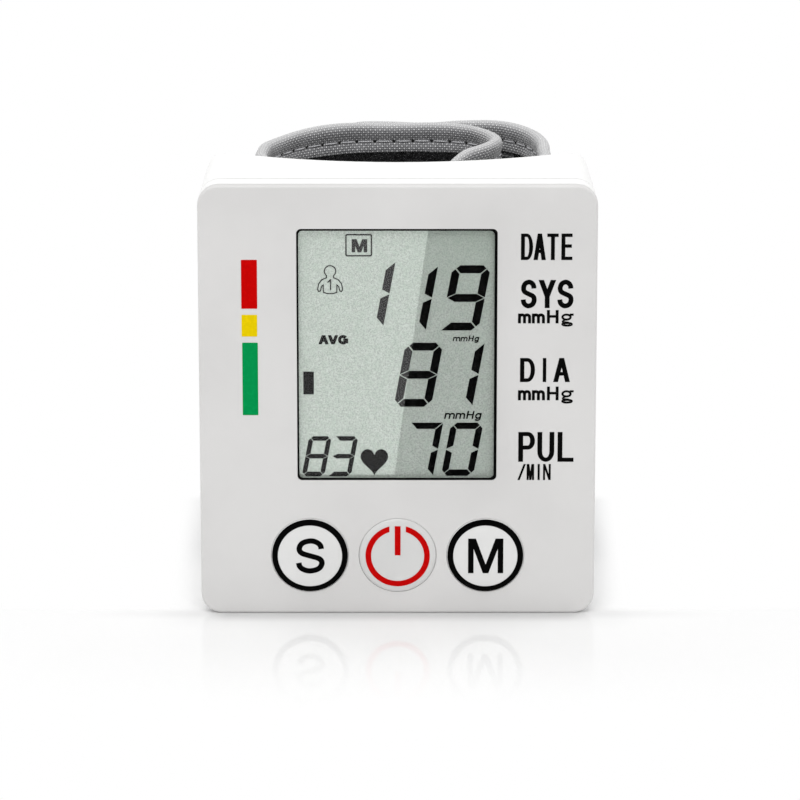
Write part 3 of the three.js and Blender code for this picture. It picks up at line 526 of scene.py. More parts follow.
def letter_parts(letter, wide, tall, thick, hooked):
    """One letter as parts that may lie over each other. Each part is an outline with its holes. A hooked
    g has one bowl and a hook, the other one has two bowls and an ear."""
    bar = 0.88 * thick
    half = thick / 2
    middle = wide / 2
    stem = [oblong(0, thick, 0, tall)]
    if letter in "AVYMN/":
        return [slanted_letter(letter, wide, tall, thick)]
    if letter == "I":
        return [[oblong(0, wide, 0, tall)]]
    if letter == "1":
        left = wide - thick
        flag = [(0, 0.76 * tall), (0, 0.66 * tall), (left, 0.8 * tall)]
        return [[[(left, 0), (wide, 0), (wide, tall), (left, tall), *flag]]]
    if letter == "L":
        return [stem, [oblong(0, wide, 0, bar)]]
    if letter == "T":
        return [[oblong(middle - half, middle + half, 0, tall)], [oblong(0, wide, tall - bar, tall)]]
    if letter == "H":
        height = 0.52 * tall
        bridge = [oblong(0, wide, height - bar / 2, height + bar / 2)]
        return [stem, [oblong(wide - thick, wide, 0, tall)], bridge]
    if letter == "E":
        height = 0.53 * tall
        arm = [oblong(0, 0.94 * wide, height - bar / 2, height + bar / 2)]
        return [stem, [oblong(0, wide, 0, bar)], [oblong(0, wide, tall - bar, tall)], arm]
    if letter == "D":
        turn = 0.5 * wide
        outer = arc(turn, tall / 2, wide - turn, tall / 2, -90, 90)
        inner = arc(turn, tall / 2, wide - turn - thick, tall / 2 - bar, -90, 90)
        return [[[(0, 0), *outer, (0, tall)], [(thick, bar), *inner, (thick, tall - bar)]]]
    if letter == "P":
        turn, bowl = 0.58 * wide, 0.295 * tall
        outer = arc(turn, tall - bowl, wide - turn, bowl, -90, 90)
        inner = arc(turn, tall - bowl, wide - turn - thick, bowl - bar, -90, 90)
        outside = [(0, 0), (thick, 0), (thick, tall - 2 * bowl), *outer, (0, tall)]
        return [[outside, [(thick, tall - 2 * bowl + bar), *inner, (thick, tall - bar)]]]
    if letter == "U":
        outer = arc(middle, 0.34 * tall, middle, 0.34 * tall, 180, 360)
        inner = arc(middle, 0.34 * tall, middle - thick, 0.34 * tall - bar, 360, 180)
        return [[[(0, tall), *outer, (wide, tall), (wide - thick, tall), *inner, (thick, tall)]]]
    if letter == "S":
        side, lobe = middle - half, (tall - bar) / 4
        high, low = tall - bar / 2 - lobe, bar / 2 + lobe
        upper = [spot(middle, high, side * 0.95, lobe, turn) for turn in (-4, 25, 56, 90, 135, 180, 218)]
        lower = [spot(middle, low, side, lobe, turn) for turn in (38, 0, -45, -90, -124, -155, -184)]
        return [line_loops(smooth([*upper, (middle, tall / 2), *lower]), thick)]
    if letter == "G":
        bend = arc(middle, tall / 2, middle - half, tall / 2 - bar / 2, 40, 320, 24)
        shelf = [oblong(0.52 * wide, wide, 0.34 * tall, 0.34 * tall + bar)]
        return [line_loops(bend, thick), shelf, [oblong(wide - thick, wide, 0.1 * tall, 0.34 * tall + bar)]]
    small = 0.73 * tall
    if letter == "m":
        spring = 0.62 * small
        parts = [[oblong(0, thick, 0, small)]]
        for start, end in ((half, middle), (middle, wide - half)):
            parts.append([oblong(end - half, end + half, 0, spring)])
            bow = arc((start + end) / 2, spring, (end - start) / 2, small - bar / 2 - spring, 180, 0)
            parts.append(line_loops(bow, thick))
        return parts
    if hooked:
        bowl = arc(middle, small / 2, middle - half, small / 2 - bar / 2, 0, 345, 20)
        hook = arc(middle, 0.02 * tall, middle - half, 0.2 * tall, 0, -155)
        side = [oblong(wide - thick, wide, 0, small)]
        return [line_loops(bowl, thick, closed=True), side, line_loops(hook, thick)]
    thin = 0.72 * thick
    upper = arc(0.42 * wide, 0.64 * small, 0.42 * wide - thin / 2, 0.36 * small - thin / 2, 0, 345, 20)
    lower = arc(0.47 * wide, -0.07 * tall, 0.47 * wide - thin / 2, 0.175 * tall - thin / 2, 0, 345, 20)
    turns = [(0.28, 0.3), (0.13, 0.2), (0.22, 0.1), (0.6, 0.07)]
    link = smooth([(across * wide, up * small) for across, up in turns])
    ear = [oblong(0.68 * wide, wide, small - thin, small)]
    bowls = [line_loops(bowl, thin, closed=True) for bowl in (upper, lower)]
    return [*bowls, line_loops(link, thin), ear]


def word(name, text, box, thick, edges, front, back, slant=0.0, hooked=False):
    """A word whose letters stand between pairs of edges, given as shares of its box. Lower case g hangs
    below the line."""
    left, right, bottom, top = box
    line = bottom + 0.17 * (top - bottom) if "g" in text else bottom
    pieces = []
    for letter, start, end in zip(text, edges[::2], edges[1::2]):
        across = left + start * (right - left)
        wide = (end - start) * (right - left)
        for part in letter_parts(letter, wide, top - line, thick, hooked):
            loops = [[(across + x + slant * z, line + z) for x, z in loop] for loop in part]
            pieces.append(flat(name, loops, front - 0.001 * (len(pieces) % 5), back))
    return join(pieces) if len(pieces) > 1 else pieces[0]


# Finishes

def tone(colour, share, plus=0.0):
    """A darker or lighter tone of a colour."""
    return tuple(level * share + plus for level in colour)


class Wire:
    """One value of a finish. Plain operators on values add Math nodes."""

    def __init__(self, tree, socket):
        self.tree = tree
        self.socket = socket

    def maths(self, operation, *others):
        return self.tree.maths(operation, self, *others)

    def __add__(self, other):
        return self.maths("ADD", other)

    def __sub__(self, other):
        return self.maths("SUBTRACT", other)

    def __rsub__(self, other):
        return self.tree.maths("SUBTRACT", other, self)

    def __mul__(self, other):
        return self.maths("MULTIPLY", other)

    def __truediv__(self, other):
        return self.maths("DIVIDE", other)

    def __rtruediv__(self, other):
        return self.tree.maths("DIVIDE", other, self)

    def __mod__(self, other):
        return self.maths("FLOORED_MODULO", other)

    def __rmod__(self, other):
        return self.tree.maths("FLOORED_MODULO", other, self)

    def __gt__(self, other):
        return self.maths("GREATER_THAN", other)

    def __lt__(self, other):
        return self.maths("LESS_THAN", other)

    __radd__ = __add__
    __rmul__ = __mul__

    def whole(self):
        return self.maths("FLOOR")

    def part(self):
        return self.maths("FRACT")

    def size(self):
        return self.maths("ABSOLUTE")

    def root(self):
        return self.maths("SQRT")

    def cosine(self):
        return self.maths("COSINE")

    def least(self, other):
        return self.maths("MINIMUM", other)

    def most(self, other):
        return self.maths("MAXIMUM", other)

    def between(self, low, high):
        """0 at and below low, 1 at and above high, smooth between."""
        settings = {"interpolation_type": "SMOOTHSTEP"}
        inlets = {"Value": self, "From Min": low, "From Max": high}
        return self.tree.node("ShaderNodeMapRange", settings, inlets)

    def fading(self, reach):
        """1 at and below 0, 0 at its reach and beyond."""
        return 1 - self.between(0, reach)


class Tree:
    """The nodes of a material or of the world, in the making."""

    def __init__(self, owner):
        owner.use_nodes = True
        self.tree = owner.node_tree
        self.tree.nodes.clear()

    def node(self, kind, settings=None, inlets=None, outlet=0):
        node = self.tree.nodes.new(kind)
        for name, value in (settings or {}).items():
            setattr(node, name, value)
        for name, value in (inlets or {}).items():
            inlet = node.inputs[name]
            if isinstance(value, Wire):
                self.tree.links.new(value.socket, inlet)
            elif inlet.type == "RGBA":
                inlet.default_value = (*value, 1)
            else:
                inlet.default_value = value
        return Wire(self, node.outputs[outlet]) if node.outputs else None

    def maths(self, operation, *values):
        return self.node("ShaderNodeMath", {"operation": operation}, dict(enumerate(values)))

    def seen(self):
        """1 for the rays that look at the stage, straight, in a mirror or through a pane."""
        kinds = ("Is Camera Ray", "Is Glossy Ray", "Is Transmission Ray")
        straight, mirrored, through = [self.node("ShaderNodeLightPath", outlet=kind) for kind in kinds]
        return straight.most(mirrored).most(through)


class Finish(Tree):
    """A material in the making."""

    def __init__(self, name):
        self.material = bpy.data.materials.new(name)
        super().__init__(self.material)
        self.places = self.node("ShaderNodeTexCoord", outlet="Object")

    def blend(self, share, first, second):
        return self.node("ShaderNodeMix", {"data_type": "RGBA"}, {0: share, 6: first, 7: second}, 2)

    def axis(self, name, vector=None):
        return self.node("ShaderNodeSeparateXYZ", inlets={0: vector or self.places}, outlet=name)

    def noise(self, scale, detail, vector=None):
        inlets = {"Vector": vector or self.places, "Scale": scale, "Detail": float(detail)}
        return self.node("ShaderNodeTexNoise", inlets=inlets)

    def cells(self, scale, vector):
        return self.node("ShaderNodeTexVoronoi", inlets={"Vector": vector, "Scale": scale})

    def bump(self, height, strength, distance, under=None):
        """A relief of the given height in millimetres, over another one where that is given."""
        inlets = {"Height": height, "Strength": strength, "Distance": distance * MM}
        if under:
            inlets["Normal"] = under
        return self.node("ShaderNodeBump", inlets=inlets)

    def mix(self, share, first, second):
        return self.node("ShaderNodeMixShader", inlets={0: share, 1: first, 2: second})

    def principled(self, **values):
        inlets = {
            name.replace("_", " ").title().replace("Ior", "IOR"): value for name, value in values.items()
        }
        return self.node("ShaderNodeBsdfPrincipled", inlets=inlets)

    def end(self, shader):
        self.node("ShaderNodeOutputMaterial", inlets={"Surface": shader})
        return self.material

    def surface(self, **values):
        return self.end(self.principled(**values))


def moulded(name, colour, roughness, grain=0.012, shade=0.05):
    """Moulded plastic: a fine spark-eroded grain, faint flow clouds and slightly worn high spots."""
    finish = Finish(name)
    clouds = finish.noise(55, 3)
    fine = finish.noise(2600, 1)
    wear = finish.noise(240, 4)
    return finish.surface(
        base_color=finish.blend(clouds.between(0.3, 0.7), tone(colour, 1 - shade), colour),
        roughness=roughness - 0.06 + wear * 0.12,
        specular_ior_level=0.4,
        normal=finish.bump(fine, 0.35, grain),
    )


def mottled(name, colour, other, field, span, relief, **values):
    """A finish where one noise blends two tones and also makes the relief."""
    finish = Finish(name)
    noise = finish.noise(*field)
    ground = finish.blend(noise.between(*span), colour, other)
    return finish.surface(base_color=ground, normal=finish.bump(noise, *relief), **values)


def printed(name, colour, roughness=0.42):
    """Screen print: nearly even ink with a faint mesh of the screen."""
    return mottled(
        name, colour, tone(colour, 1.12, 0.0007), (1500, 2), (0.42, 0.75), (0.2, 0.006),
        roughness=roughness, specular_ior_level=0.02,
    )


def rubber(name, colour):
    """Soft rubber: matt, a little dusty."""
    return mottled(
        name, colour, tone(colour, 1.5, 0.01), (700, 4), (0.45, 0.8), (0.3, 0.02),
        roughness=0.62, specular_ior_level=0.3,
    )


def vinyl(name, colour):
    """Welded film of the air bladder, with soft folds."""
    return mottled(name, colour, tone(colour, 0.75), (60, 4), (0.35, 0.65), (0.3, 0.4), roughness=0.35)


def hose_wall(name, colour):
    """Milky silicone tube."""
    return mottled(
        name, colour, tone(colour, 0.82), (350, 3), (0.35, 0.7), (0.15, 0.02),
        roughness=0.4, subsurface_weight=0.2, subsurface_radius=(0.002, 0.002, 0.002),
    )


def metal(name, colour, roughness=0.28):
    """Plated steel with fine drawn lines and a few dull spots."""
    finish = Finish(name)
    inlets = {"Vector": finish.places, "Scale": (4000, 4000, 200)}
    drawn = finish.node("ShaderNodeMapping", inlets=inlets)
    lines = finish.noise(1, 2, drawn)
    dull = finish.noise(420, 3)
    return finish.surface(
        base_color=finish.blend(dull.between(0.4, 0.7), colour, tone(colour, 0.8)),
        metallic=1.0,
        roughness=roughness - 0.05 + dull * 0.14,
        normal=finish.bump(lines, 0.2, 0.01),
    )


def circuit(name, colour):
    """Solder mask over copper tracks."""
    finish = Finish(name)
    across = (finish.axis("X") / (1.27 * MM)).part()
    height = (finish.axis("Z") / (2.54 * MM)).part()
    course = finish.noise(160, 0)
    tracks = (across < 0.35) * (course > 0.47)
    rows = (height < 0.2) * (course < 0.42)
    copper = tracks.most(rows)
    return finish.surface(
        base_color=finish.blend(copper, colour, tone(colour, 1.7, 0.01)),
        roughness=0.3,
        normal=finish.bump(copper, 0.5, 0.03),
    )


def jacket(name, colour, band_colour):
    """Shrink sleeve of a battery, with a bright end band and no words."""
    finish = Finish(name)
    band = finish.axis("Z") > 57 * MM
    creases = finish.noise(300, 3)
    return finish.surface(
        base_color=finish.blend(band, colour, band_colour),
        roughness=0.25 + creases * 0.12,
        metallic=band * 0.5,
        normal=finish.bump(creases, 0.15, 0.02),
    )


def clear_pane(name):
    """The clear window: it lets light through and mirrors a little."""
    finish = Finish(name)
    film = finish.noise(90, 2)
    mirror = finish.principled(base_color=WHITE, metallic=1.0, roughness=0.015 + film * 0.02)
    return finish.end(finish.mix(0.994, mirror, finish.node("ShaderNodeBsdfTransparent")))


def display_glass(name, colour):
    """Resting display: a grey green reflector with a fine grain behind polished glass, with painted shade in
    its upper right corner, where the window's recess shades it."""
    finish = Finish(name)
    grain = finish.noise(3600, 2)
    patches = finish.noise(900, 3)
    upper = (finish.axis("Z") - 50 * MM).between(0, 20 * MM)
    right = (finish.axis("X") + 2 * MM).between(0, 14 * MM)
    # The deep tone serves both the random patches and the painted shade of the corner.
    deep = tuple(level * share for level, share in zip(colour, (0.83, 0.92, 0.85)))
    ground = finish.blend(grain.between(0.32, 0.68), tone(colour, 0.82), tone(colour, 1.19))
    ground = finish.blend(patches.between(0.35, 0.7) * 0.35, ground, deep)
    # Painted shade: the upper right corner is blended towards the deep tone, standing in for the shade of the
    # window's recess.
    ground = finish.blend(upper * right * 0.35, ground, deep)
    return finish.surface(base_color=ground, metallic=0.29, roughness=0.05, specular_ior_level=0.0)


def segment_ink(name, colour, gloss):
    """Switched-on segment behind polished glass, which mirrors a share of the room."""
    finish = Finish(name)
    grain = finish.noise(5200, 1)
    ground = finish.blend(grain.between(0.4, 0.7), colour, tone(colour, 1.5, 0.001))
    return finish.surface(base_color=ground, roughness=0.05, specular_ior_level=gloss)


def nearest(value, marks):
    """How far a value is from the nearest of two marks."""
    first, second = marks
    return (value - first).size().least((value - second).size())


def woven(name, dark, light, thread, stitch, seams, rims):
    """Coarse plain weave in its own map: pillow-shaped threads that pass over and under, with painted shade
    in the hollows between threads, in the needle holes along the seams and in a band below each rim, soft
    painted light and shade of small folds, and a painted highlight on the rims."""
    finish = Finish(name)
    uv = finish.node("ShaderNodeUVMap")
    along = finish.axis("X", uv)
    over = finish.axis("Y", uv)
    sway = finish.noise(420, 2, uv) - 0.5
    column = along / thread + sway * 0.5
    row = over / thread + sway * 0.4
    parity = (column.whole() + row.whole()) % 2
    dome = ((column.part() - 0.5) * math.pi).cosine() * ((row.part() - 0.5) * math.pi).cosine()
    fibre = finish.noise(9000, 2, uv)
    clouds = finish.noise(130, 3, uv)
    wrinkles = finish.bump(finish.noise(120, 2, uv), 0.6, 1.6)
    # Painted shade: the low parts of each thread, in the hollows between threads, are darkened to half the
    # weave colour.
    colour = finish.blend(dome.between(0.05, 0.9), tone(dark, 0.5), dark)
    # Painted light and shade: soft lighter clouds stand in for the shading of small folds.
    colour = finish.blend(clouds.between(0.35, 0.7) * 0.2, colour, tone(dark, 1.5))
    raised = dome.between(0.3, 0.85) * parity
    colour = finish.blend(raised, colour, light)
    from_rim = nearest(over, rims)
    # Painted shade: a band just below each rim is darkened.
    painted_shade_below_rim = from_rim.between(1.6 * MM, 2.6 * MM) * (1 - from_rim.between(2.8 * MM, 3.4 * MM))
    colour = finish.blend(painted_shade_below_rim * 0.3, colour, tone(dark, 0.35))
    # Painted highlight: the threads on the rims are blended towards the pale thread colour, where light falls
    # on the rolled rim.
    colour = finish.blend((1 - from_rim.between(0.2 * MM, 2.0 * MM)) * 0.55, colour, light)
    # Needle holes along the seams: sunken in the relief, with painted shade in the colour.
    hole_along = ((along / stitch).part() - 0.5).size() * stitch
    hole_over = nearest(over, seams[:2]).least(nearest(over, seams[2:]))
    hole = 1 - (hole_along * hole_along + hole_over * hole_over).root().between(0.2 * MM, 0.42 * MM)
    height = dome * (parity * 0.55 + 0.45) + fibre * 0.12 - hole * 0.8
    return finish.surface(
        base_color=finish.blend(hole, colour, PAINTED_HOLE_SHADE),
        roughness=0.86 - raised * 0.2,
        specular_ior_level=0.25,
        sheen_weight=0.8,
        sheen_roughness=0.4,
        normal=finish.bump(height, 0.9, 0.17, wrinkles),
    )


def mesh_cloth(name, colour):
    """Black spacer mesh with open eyes and tiny bright fibres."""
    finish = Finish(name)
    uv = finish.node("ShaderNodeUVMap")
    eyes = finish.cells(1150, uv)
    fibres = finish.noise(7000, 2, uv)
    speck = fibres.between(0.6, 0.72) * (eyes > 0.25)
    ground = finish.blend(eyes.between(0.15, 0.5), tone(colour, 0.3), colour)
    return finish.surface(
        base_color=finish.blend(speck * 0.75, ground, paint(170, 170, 172)),
        roughness=0.88,
        specular_ior_level=0.15,
        normal=finish.bump(eyes.between(0.05, 0.45) + fibres * 0.4, 0.9, 0.12),
    )


def touch_tape(name, ground, tip, scale):
    """Hook or loop tape: rows of tiny hooks or a felt of loops."""
    finish = Finish(name)
    uv = finish.node("ShaderNodeUVMap")
    felt = finish.noise(2600, 5, uv)
    tufts = finish.noise(500, 2, uv)
    peaks = 1 - finish.cells(scale, uv).between(0.1, 0.6)
    tips = (peaks * 0.4 + felt.between(0.3, 0.7) * 0.6) * (tufts * 0.5 + 0.55)
    return finish.surface(
        base_color=finish.blend(tips, ground, tip),
        roughness=0.82,
        specular_ior_level=0.25,
        normal=finish.bump(peaks + felt * 0.5, 1.0, 0.25),
    )


def sewing_thread(name, colour):
    """Twisted polyester thread."""
    finish = Finish(name)
    uv = finish.node("ShaderNodeUVMap")
    twist = ((finish.axis("X", uv) / (0.35 * MM) + finish.axis("Y", uv)).part() - 0.5).size()
    return finish.surface(
        base_color=finish.blend(twist.between(0.1, 0.4), colour, tone(colour, 0.5)),
        roughness=0.55,
        normal=finish.bump(twist, 0.6, 0.05),
    )


# Stage

CLIP_FAR = 20
LAMPS = [
    ("key_lamp", "key", (-0.1, -0.74, 1.58), (0, 0, 0.03), 1.2),
    ("rim_lamp_left", "rim", (-1.1, 0.6, 0.8), (0, 0, 0.05), 0.7),
    ("rim_lamp_right", "rim", (1.1, 0.6, 0.8), (0, 0, 0.05), 0.7),
]
# Strengths of the painted contact shadow in the floor's colour: under the front, at the sides and all round
# the base.
SHADE_UNDER_FRONT, SHADE_AT_SIDES, SHADE_AROUND = 0.5, 0.17, 0.12
CARD_OUTLINE = [(-1.18, 18), (19.5, 18), (19.5, 73), (6.0, 73)]
CARD_AHEAD = 8


def floor_finish(settings):
    """White floor that keeps the object's shadow, darkened further by a painted contact shadow round the
    base; it mirrors faintly just in front of the base, and is plain white farther off."""
    finish = Finish("white_floor")
    low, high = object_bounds()
    ahead = (low.y - finish.axis("Y")).most(0)
    behind = (finish.axis("Y") - high.y).most(0)
    past_side = finish.axis("X").size() - high.x
    aside = past_side.most(0)
    away = (ahead * ahead + behind * behind + aside * aside).root()
    beyond = finish.axis("Y") - low.y
    beside = (behind * behind + aside * aside).root()
    contact = settings.contact
    reach = settings.mirror_reach
    middle = 1 - past_side.between(-5 * MM, 1 * MM)
    # Painted contact shadow: masks that darken the floor's colour under the front, at the sides and round the
    # base.
    under_front = away.fading(contact) * beyond.fading(contact * 0.6) * middle * SHADE_UNDER_FRONT
    at_sides = beyond.size().fading(contact * 0.7) * aside.fading(contact * 5) * SHADE_AT_SIDES
    shade = under_front.most(at_sides) + away.fading(contact * 2) * SHADE_AROUND
    far = away.between(reach * 0.3, reach * 1.25)
    far = far.most(beside.between(0, contact * 1.2) * beyond.between(contact * 0.2, contact * 0.8))
    pale = finish.blend(finish.noise(30, 2), (0.9, 0.9, 0.9), (0.915, 0.915, 0.915))
    colour = finish.blend(shade, pale, (0.4, 0.4, 0.4))
    plain = finish.principled(base_color=colour, roughness=0.9, specular_ior_level=0.0)
    mirror = finish.node("ShaderNodeBsdfAnisotropic", inlets={"Color": WHITE, "Roughness": 0.05})
    near = finish.mix(away.fading(reach) * settings.mirror, plain, mirror)
    glow = finish.node("ShaderNodeEmission", inlets={"Color": WHITE, "Strength": 1.0})
    return finish.end(finish.mix(far * finish.seen(), near, glow))


def world_light(strength):
    """Even light from all around, behind which the camera and the mirrors see plain white."""
    world = bpy.data.worlds.new("studio")
    bpy.context.scene.world = world
    tree = Tree(world)
    inlets = {"Value": tree.seen(), "To Min": strength, "To Max": 1.0}
    level = tree.node("ShaderNodeMapRange", inlets=inlets)
    glow = tree.node("ShaderNodeBackground", inlets={"Color": WHITE, "Strength": level})
    tree.node("ShaderNodeOutputWorld", inlets={"Surface": glow})


def looking(direction):
    """The turn of a camera or lamp that looks in a direction."""
    return direction.to_track_quat("-Z", "Y").to_euler()


def set_camera(settings):
    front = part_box("fascia_panel")[0].y
    aim = Vector((settings.aim_across, front, settings.aim_height))
    back_off = Vector((0, -math.cos(settings.elevation), math.sin(settings.elevation)))
    camera = bpy.data.cameras.new("camera")
    camera.lens = settings.lens
    camera.sensor_width = 36
    camera.clip_end = CLIP_FAR
    holder = added("camera", camera)
    holder.location = aim + back_off * settings.distance
    holder.rotation_euler = looking(-back_off)
    bpy.context.scene.camera = holder
    bpy.context.scene.view_settings.view_transform = "Standard"


def set_lamps(settings):
    for name, power, place, aim, side in LAMPS:
        light = bpy.data.lights.new(name, "AREA")
        light.shape = "SQUARE"
        light.size = side
        light.energy = getattr(settings, power)
        holder = added(name, light)
        holder.location = place
        holder.rotation_euler = looking(Vector(aim) - Vector(place))


def set_stage():
    settings = bpy.context.scene.monitor_stage
    set_camera(settings)
    deselect()
    bpy.ops.mesh.primitive_plane_add(size=2 * settings.floor_half, location=(0, 0, 0))
    ground = settle(named("floor"))
    with Editing(ground):
        bpy.ops.mesh.subdivide(number_cuts=3)
    ground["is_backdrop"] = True
    ground.data.materials.append(floor_finish(settings))
    world_light(settings.fill)
    set_lamps(settings)
    glare_card()


def glare_card():
    """A dark card just in front of the right half of the window, which only mirrors see. It makes the
    slanted edge between the bright and the calm part of the display."""
    depth = corners_of("fascia_panel")[0].y - CARD_AHEAD
    card = flat("glare_card", [CARD_OUTLINE], depth, depth + 0.2)
    with Editing(card) as editing:
        editing.pick(lambda face: face.normal.y < 0.9)
        bpy.ops.mesh.delete(type="FACE")
    finish = Finish("card_black")
    black = finish.node("ShaderNodeBsdfDiffuse", inlets={"Color": (0.0, 0.0, 0.0)})
    through = finish.node("ShaderNodeBsdfTransparent")
    behind = finish.node("ShaderNodeNewGeometry", outlet="Backfacing")
    card.data.materials.append(finish.end(finish.mix(behind, black, through)))
    card.visible_camera = False
    card.visible_diffuse = False
    card.visible_shadow = False
    card.visible_transmission = False
    card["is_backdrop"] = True


# Front panel and its print

BARS = [
    ("scale_bar_high", "high", (-27.42, -24.62, 56.7, 65.62)),
    ("scale_bar_middle", "middle", (-27.4, -24.66, 51.6, 55.58)),
    ("scale_bar_low", "low", (-27.32, -24.58, 37.1, 50.47)),
]
DATE_EDGES = (0, 0.235, 0.245, 0.485, 0.51, 0.73, 0.785, 1)
UNIT_EDGES = (0, 0.235, 0.25, 0.485, 0.52, 0.73, 0.78, 1)
MINUTE_EDGES = (0, 0.25, 0.275, 0.5, 0.605, 0.67, 0.77, 1)
WORDS = [
    ("label_date", "DATE", (21.57, 30.57, 65.59, 70.39), 0.68, DATE_EDGES),
    ("label_upper", "SYS", (21.6, 30.83, 56.83, 61.95), 0.85, (0, 0.3, 0.335, 0.668, 0.695, 1)),
    ("label_upper_unit", "mmHg", (21.13, 30.89, 53.53, 56.46), 0.52, UNIT_EDGES),
    ("label_lower", "DIA", (21.55, 30.35, 43.23, 47.65), 0.76, (0, 0.3, 0.455, 0.525, 0.665, 1)),
    ("label_lower_unit", "mmHg", (21.22, 31.03, 39.34, 42.38), 0.52, UNIT_EDGES),
    ("label_pulse", "PUL", (21.34, 31.12, 28.44, 33.97), 0.85, (0, 0.3, 0.345, 0.65, 0.71, 1)),
    ("label_pulse_unit", "/MIN", (21.23, 27.11, 25.03, 28.01), 0.36, MINUTE_EDGES),
]
INK_STANDS, INK_SINKS = 0.03, 0.02


def panel_face():
    """Where the front of the panel is along the depth."""
    return corners_of("fascia_panel")[0].y


def window_edges():
    """Left, right, bottom and top edge of the window."""
    window = bpy.context.scene.monitor_window
    return [edge / MM for edge in (window.left, window.right, window.bottom, window.top)]


def build_panel():
    scene = bpy.context.scene
    settings = scene.monitor_panel
    low, high = corners_of("fascia_panel")
    panel = plate("front_panel", low.x, high.x, low.z, high.z, low.y, high.y, settings.corner / MM)
    with Editing(panel, "EDGE") as editing:
        editing.pick(lambda edge: all(vertex.co.y < (low.y + 0.01) * MM for vertex in edge.verts))
        bpy.ops.mesh.bevel(offset=settings.edge, segments=4, affect="EDGES")
    front, back = low.y - 1, high.y + 1
    opening = plate("opening", *window_edges(), front, back, scene.monitor_window.corner / MM)
    hole = scene.monitor_buttons.radius / MM + RIM + 0.05
    cut(panel, [opening, *(rod("hole", hole, x, button_height(), front, back, 128) for x in button_places())])
    round_edges(panel, 0.1 * MM, 55, 35)
    finished(panel, moulded("panel_plastic", settings.colour, 0.36), "fascia", "case", "fascia_panel")


def build_prints():
    settings = bpy.context.scene.monitor_panel
    front, back = panel_face() - INK_STANDS, panel_face() + INK_SINKS
    for name, colour, edges in BARS:
        bar = flat(name, [rounded(*edges, 0.12, 3)], front, back)
        finished(bar, printed(name, getattr(settings, colour)), "fascia", "case")
    ink = printed("panel_ink", settings.ink)
    for name, text, box, thick, edges in WORDS:
        finished(word(name, text, box, thick, edges, front, back), ink, "fascia", "case")


# Window and display

PANE_FRONT, PANE_BACK = 0.15, 0.8
DISPLAY_FRONT = 0.95
SIGN_FRONT, SIGN_BACK = 0.05, 0.01
EDGE_GAP = 0.06
# The window border is black print, and it is wider on the right and at the bottom as painted shade of the
# recess behind the window's edge.
BORDER_OUTER, BORDER_INNER = (0.02, 0.02, 0.02, 0.02), (0.34, 0.52, 0.44, 0.36)
GLOSSY_INK, DULL_INK = 0.66, 0.2
DULL_SIGNS = ("figures_memory", "sign_average")
LIT = {
    "0": "abcdef", "1": "bc", "2": "abged", "3": "abgcd", "4": "fgbc",
    "5": "afgcd", "6": "afgedc", "7": "abc", "8": "abcdefg", "9": "abcdfg",
}
FIGURES = {
    "figures_upper": (
        "upper", [(-9.2, 53.23, 11.82), (-1.74, 52.43, 11.85), (7.52, 52.45, 11.9)], 6.68, 1.43,
    ),
    "figures_lower": ("lower", [(-0.71, 38.36, 11.82), (6.59, 38.5, 11.68)], 6.6, 1.43),
    "figures_pulse": ("pulse", [(0.55, 25.54, 9.86), (7.68, 25.54, 9.86)], 5.7, 1.15),
    "figures_memory": ("memory", [(-17.0, 25.46, 7.42), (-12.29, 25.46, 7.42)], 4.0, 0.82),
}
AVERAGE_EDGES = (0, 0.345, 0.315, 0.665, 0.66, 1)
SMALL_UNIT_EDGES = (0, 0.28, 0.3, 0.56, 0.6, 0.79, 0.83, 1)
SIGNS = [
    ("sign_memory", "M", (-8.04, -5.32, 66.73, 69.1), 0.62, (0, 1), 0.0),
    ("sign_user_number", "1", (-12.31, -11.65, 59.79, 61.81), 0.21, (0, 1), 0.0),
    ("sign_average", "AVG", (-13.93, -8.7, 49.9, 51.56), 0.54, AVERAGE_EDGES, 0.0),
    ("sign_upper_unit", "mmHg", (9.68, 14.22, 50.24, 51.51), 0.2, SMALL_UNIT_EDGES, 0.2),
    ("sign_lower_unit", "mmHg", (8.2, 14.68, 35.82, 37.6), 0.27, SMALL_UNIT_EDGES, 0.2),
]
LEVEL_BAR = (-16.62, -14.78, 40.66, 44.86)
HEART_BOX = (-6.56, -1.68, 25.56, 30.47)
FRAME_OUTER, FRAME_INNER = (-9.16, -4.45, 65.98, 70.06), (-8.92, -4.7, 66.22, 69.8)
USER_MIDDLE, USER_HEAD, USER_LINE = -11.84, 63.29, 0.19
USER_HALF = [
    (0.62, 62.10), (1.45, 61.72), (2.0, 61.00), (2.2, 59.95), (2.02, 59.58), (1.72, 59.65), (1.5, 60.50),
    (1.2, 60.75), (1.18, 59.42), (0.6, 59.22), (0, 59.18),
]


def window_plate(name, front, back):
    """A plate that fills the window's opening between two depths behind the panel's face."""
    edges = inset(window_edges(), EDGE_GAP, EDGE_GAP, EDGE_GAP, EDGE_GAP)
    corner = bpy.context.scene.monitor_window.corner / MM - EDGE_GAP
    return plate(name, *edges, panel_face() + front, panel_face() + back, corner)


def build_window():
    pane = window_plate("window_pane", PANE_FRONT, PANE_BACK)
    finished(pane, clear_pane("window_clear"), "window", "case", "window_lens")
    face = panel_face() + PANE_FRONT
    outer = rounded(*inset(window_edges(), *BORDER_OUTER), 0.85)
    inner = rounded(*inset(window_edges(), *BORDER_INNER), 0.75)
    # Black print round the window, with painted shade where it is wider on the right and at the bottom.
    border = flat("window_border", [outer, inner], face - 0.03, face - 0.005)
    finished(border, printed("border_ink", paint(8, 8, 8)), "window", "case")


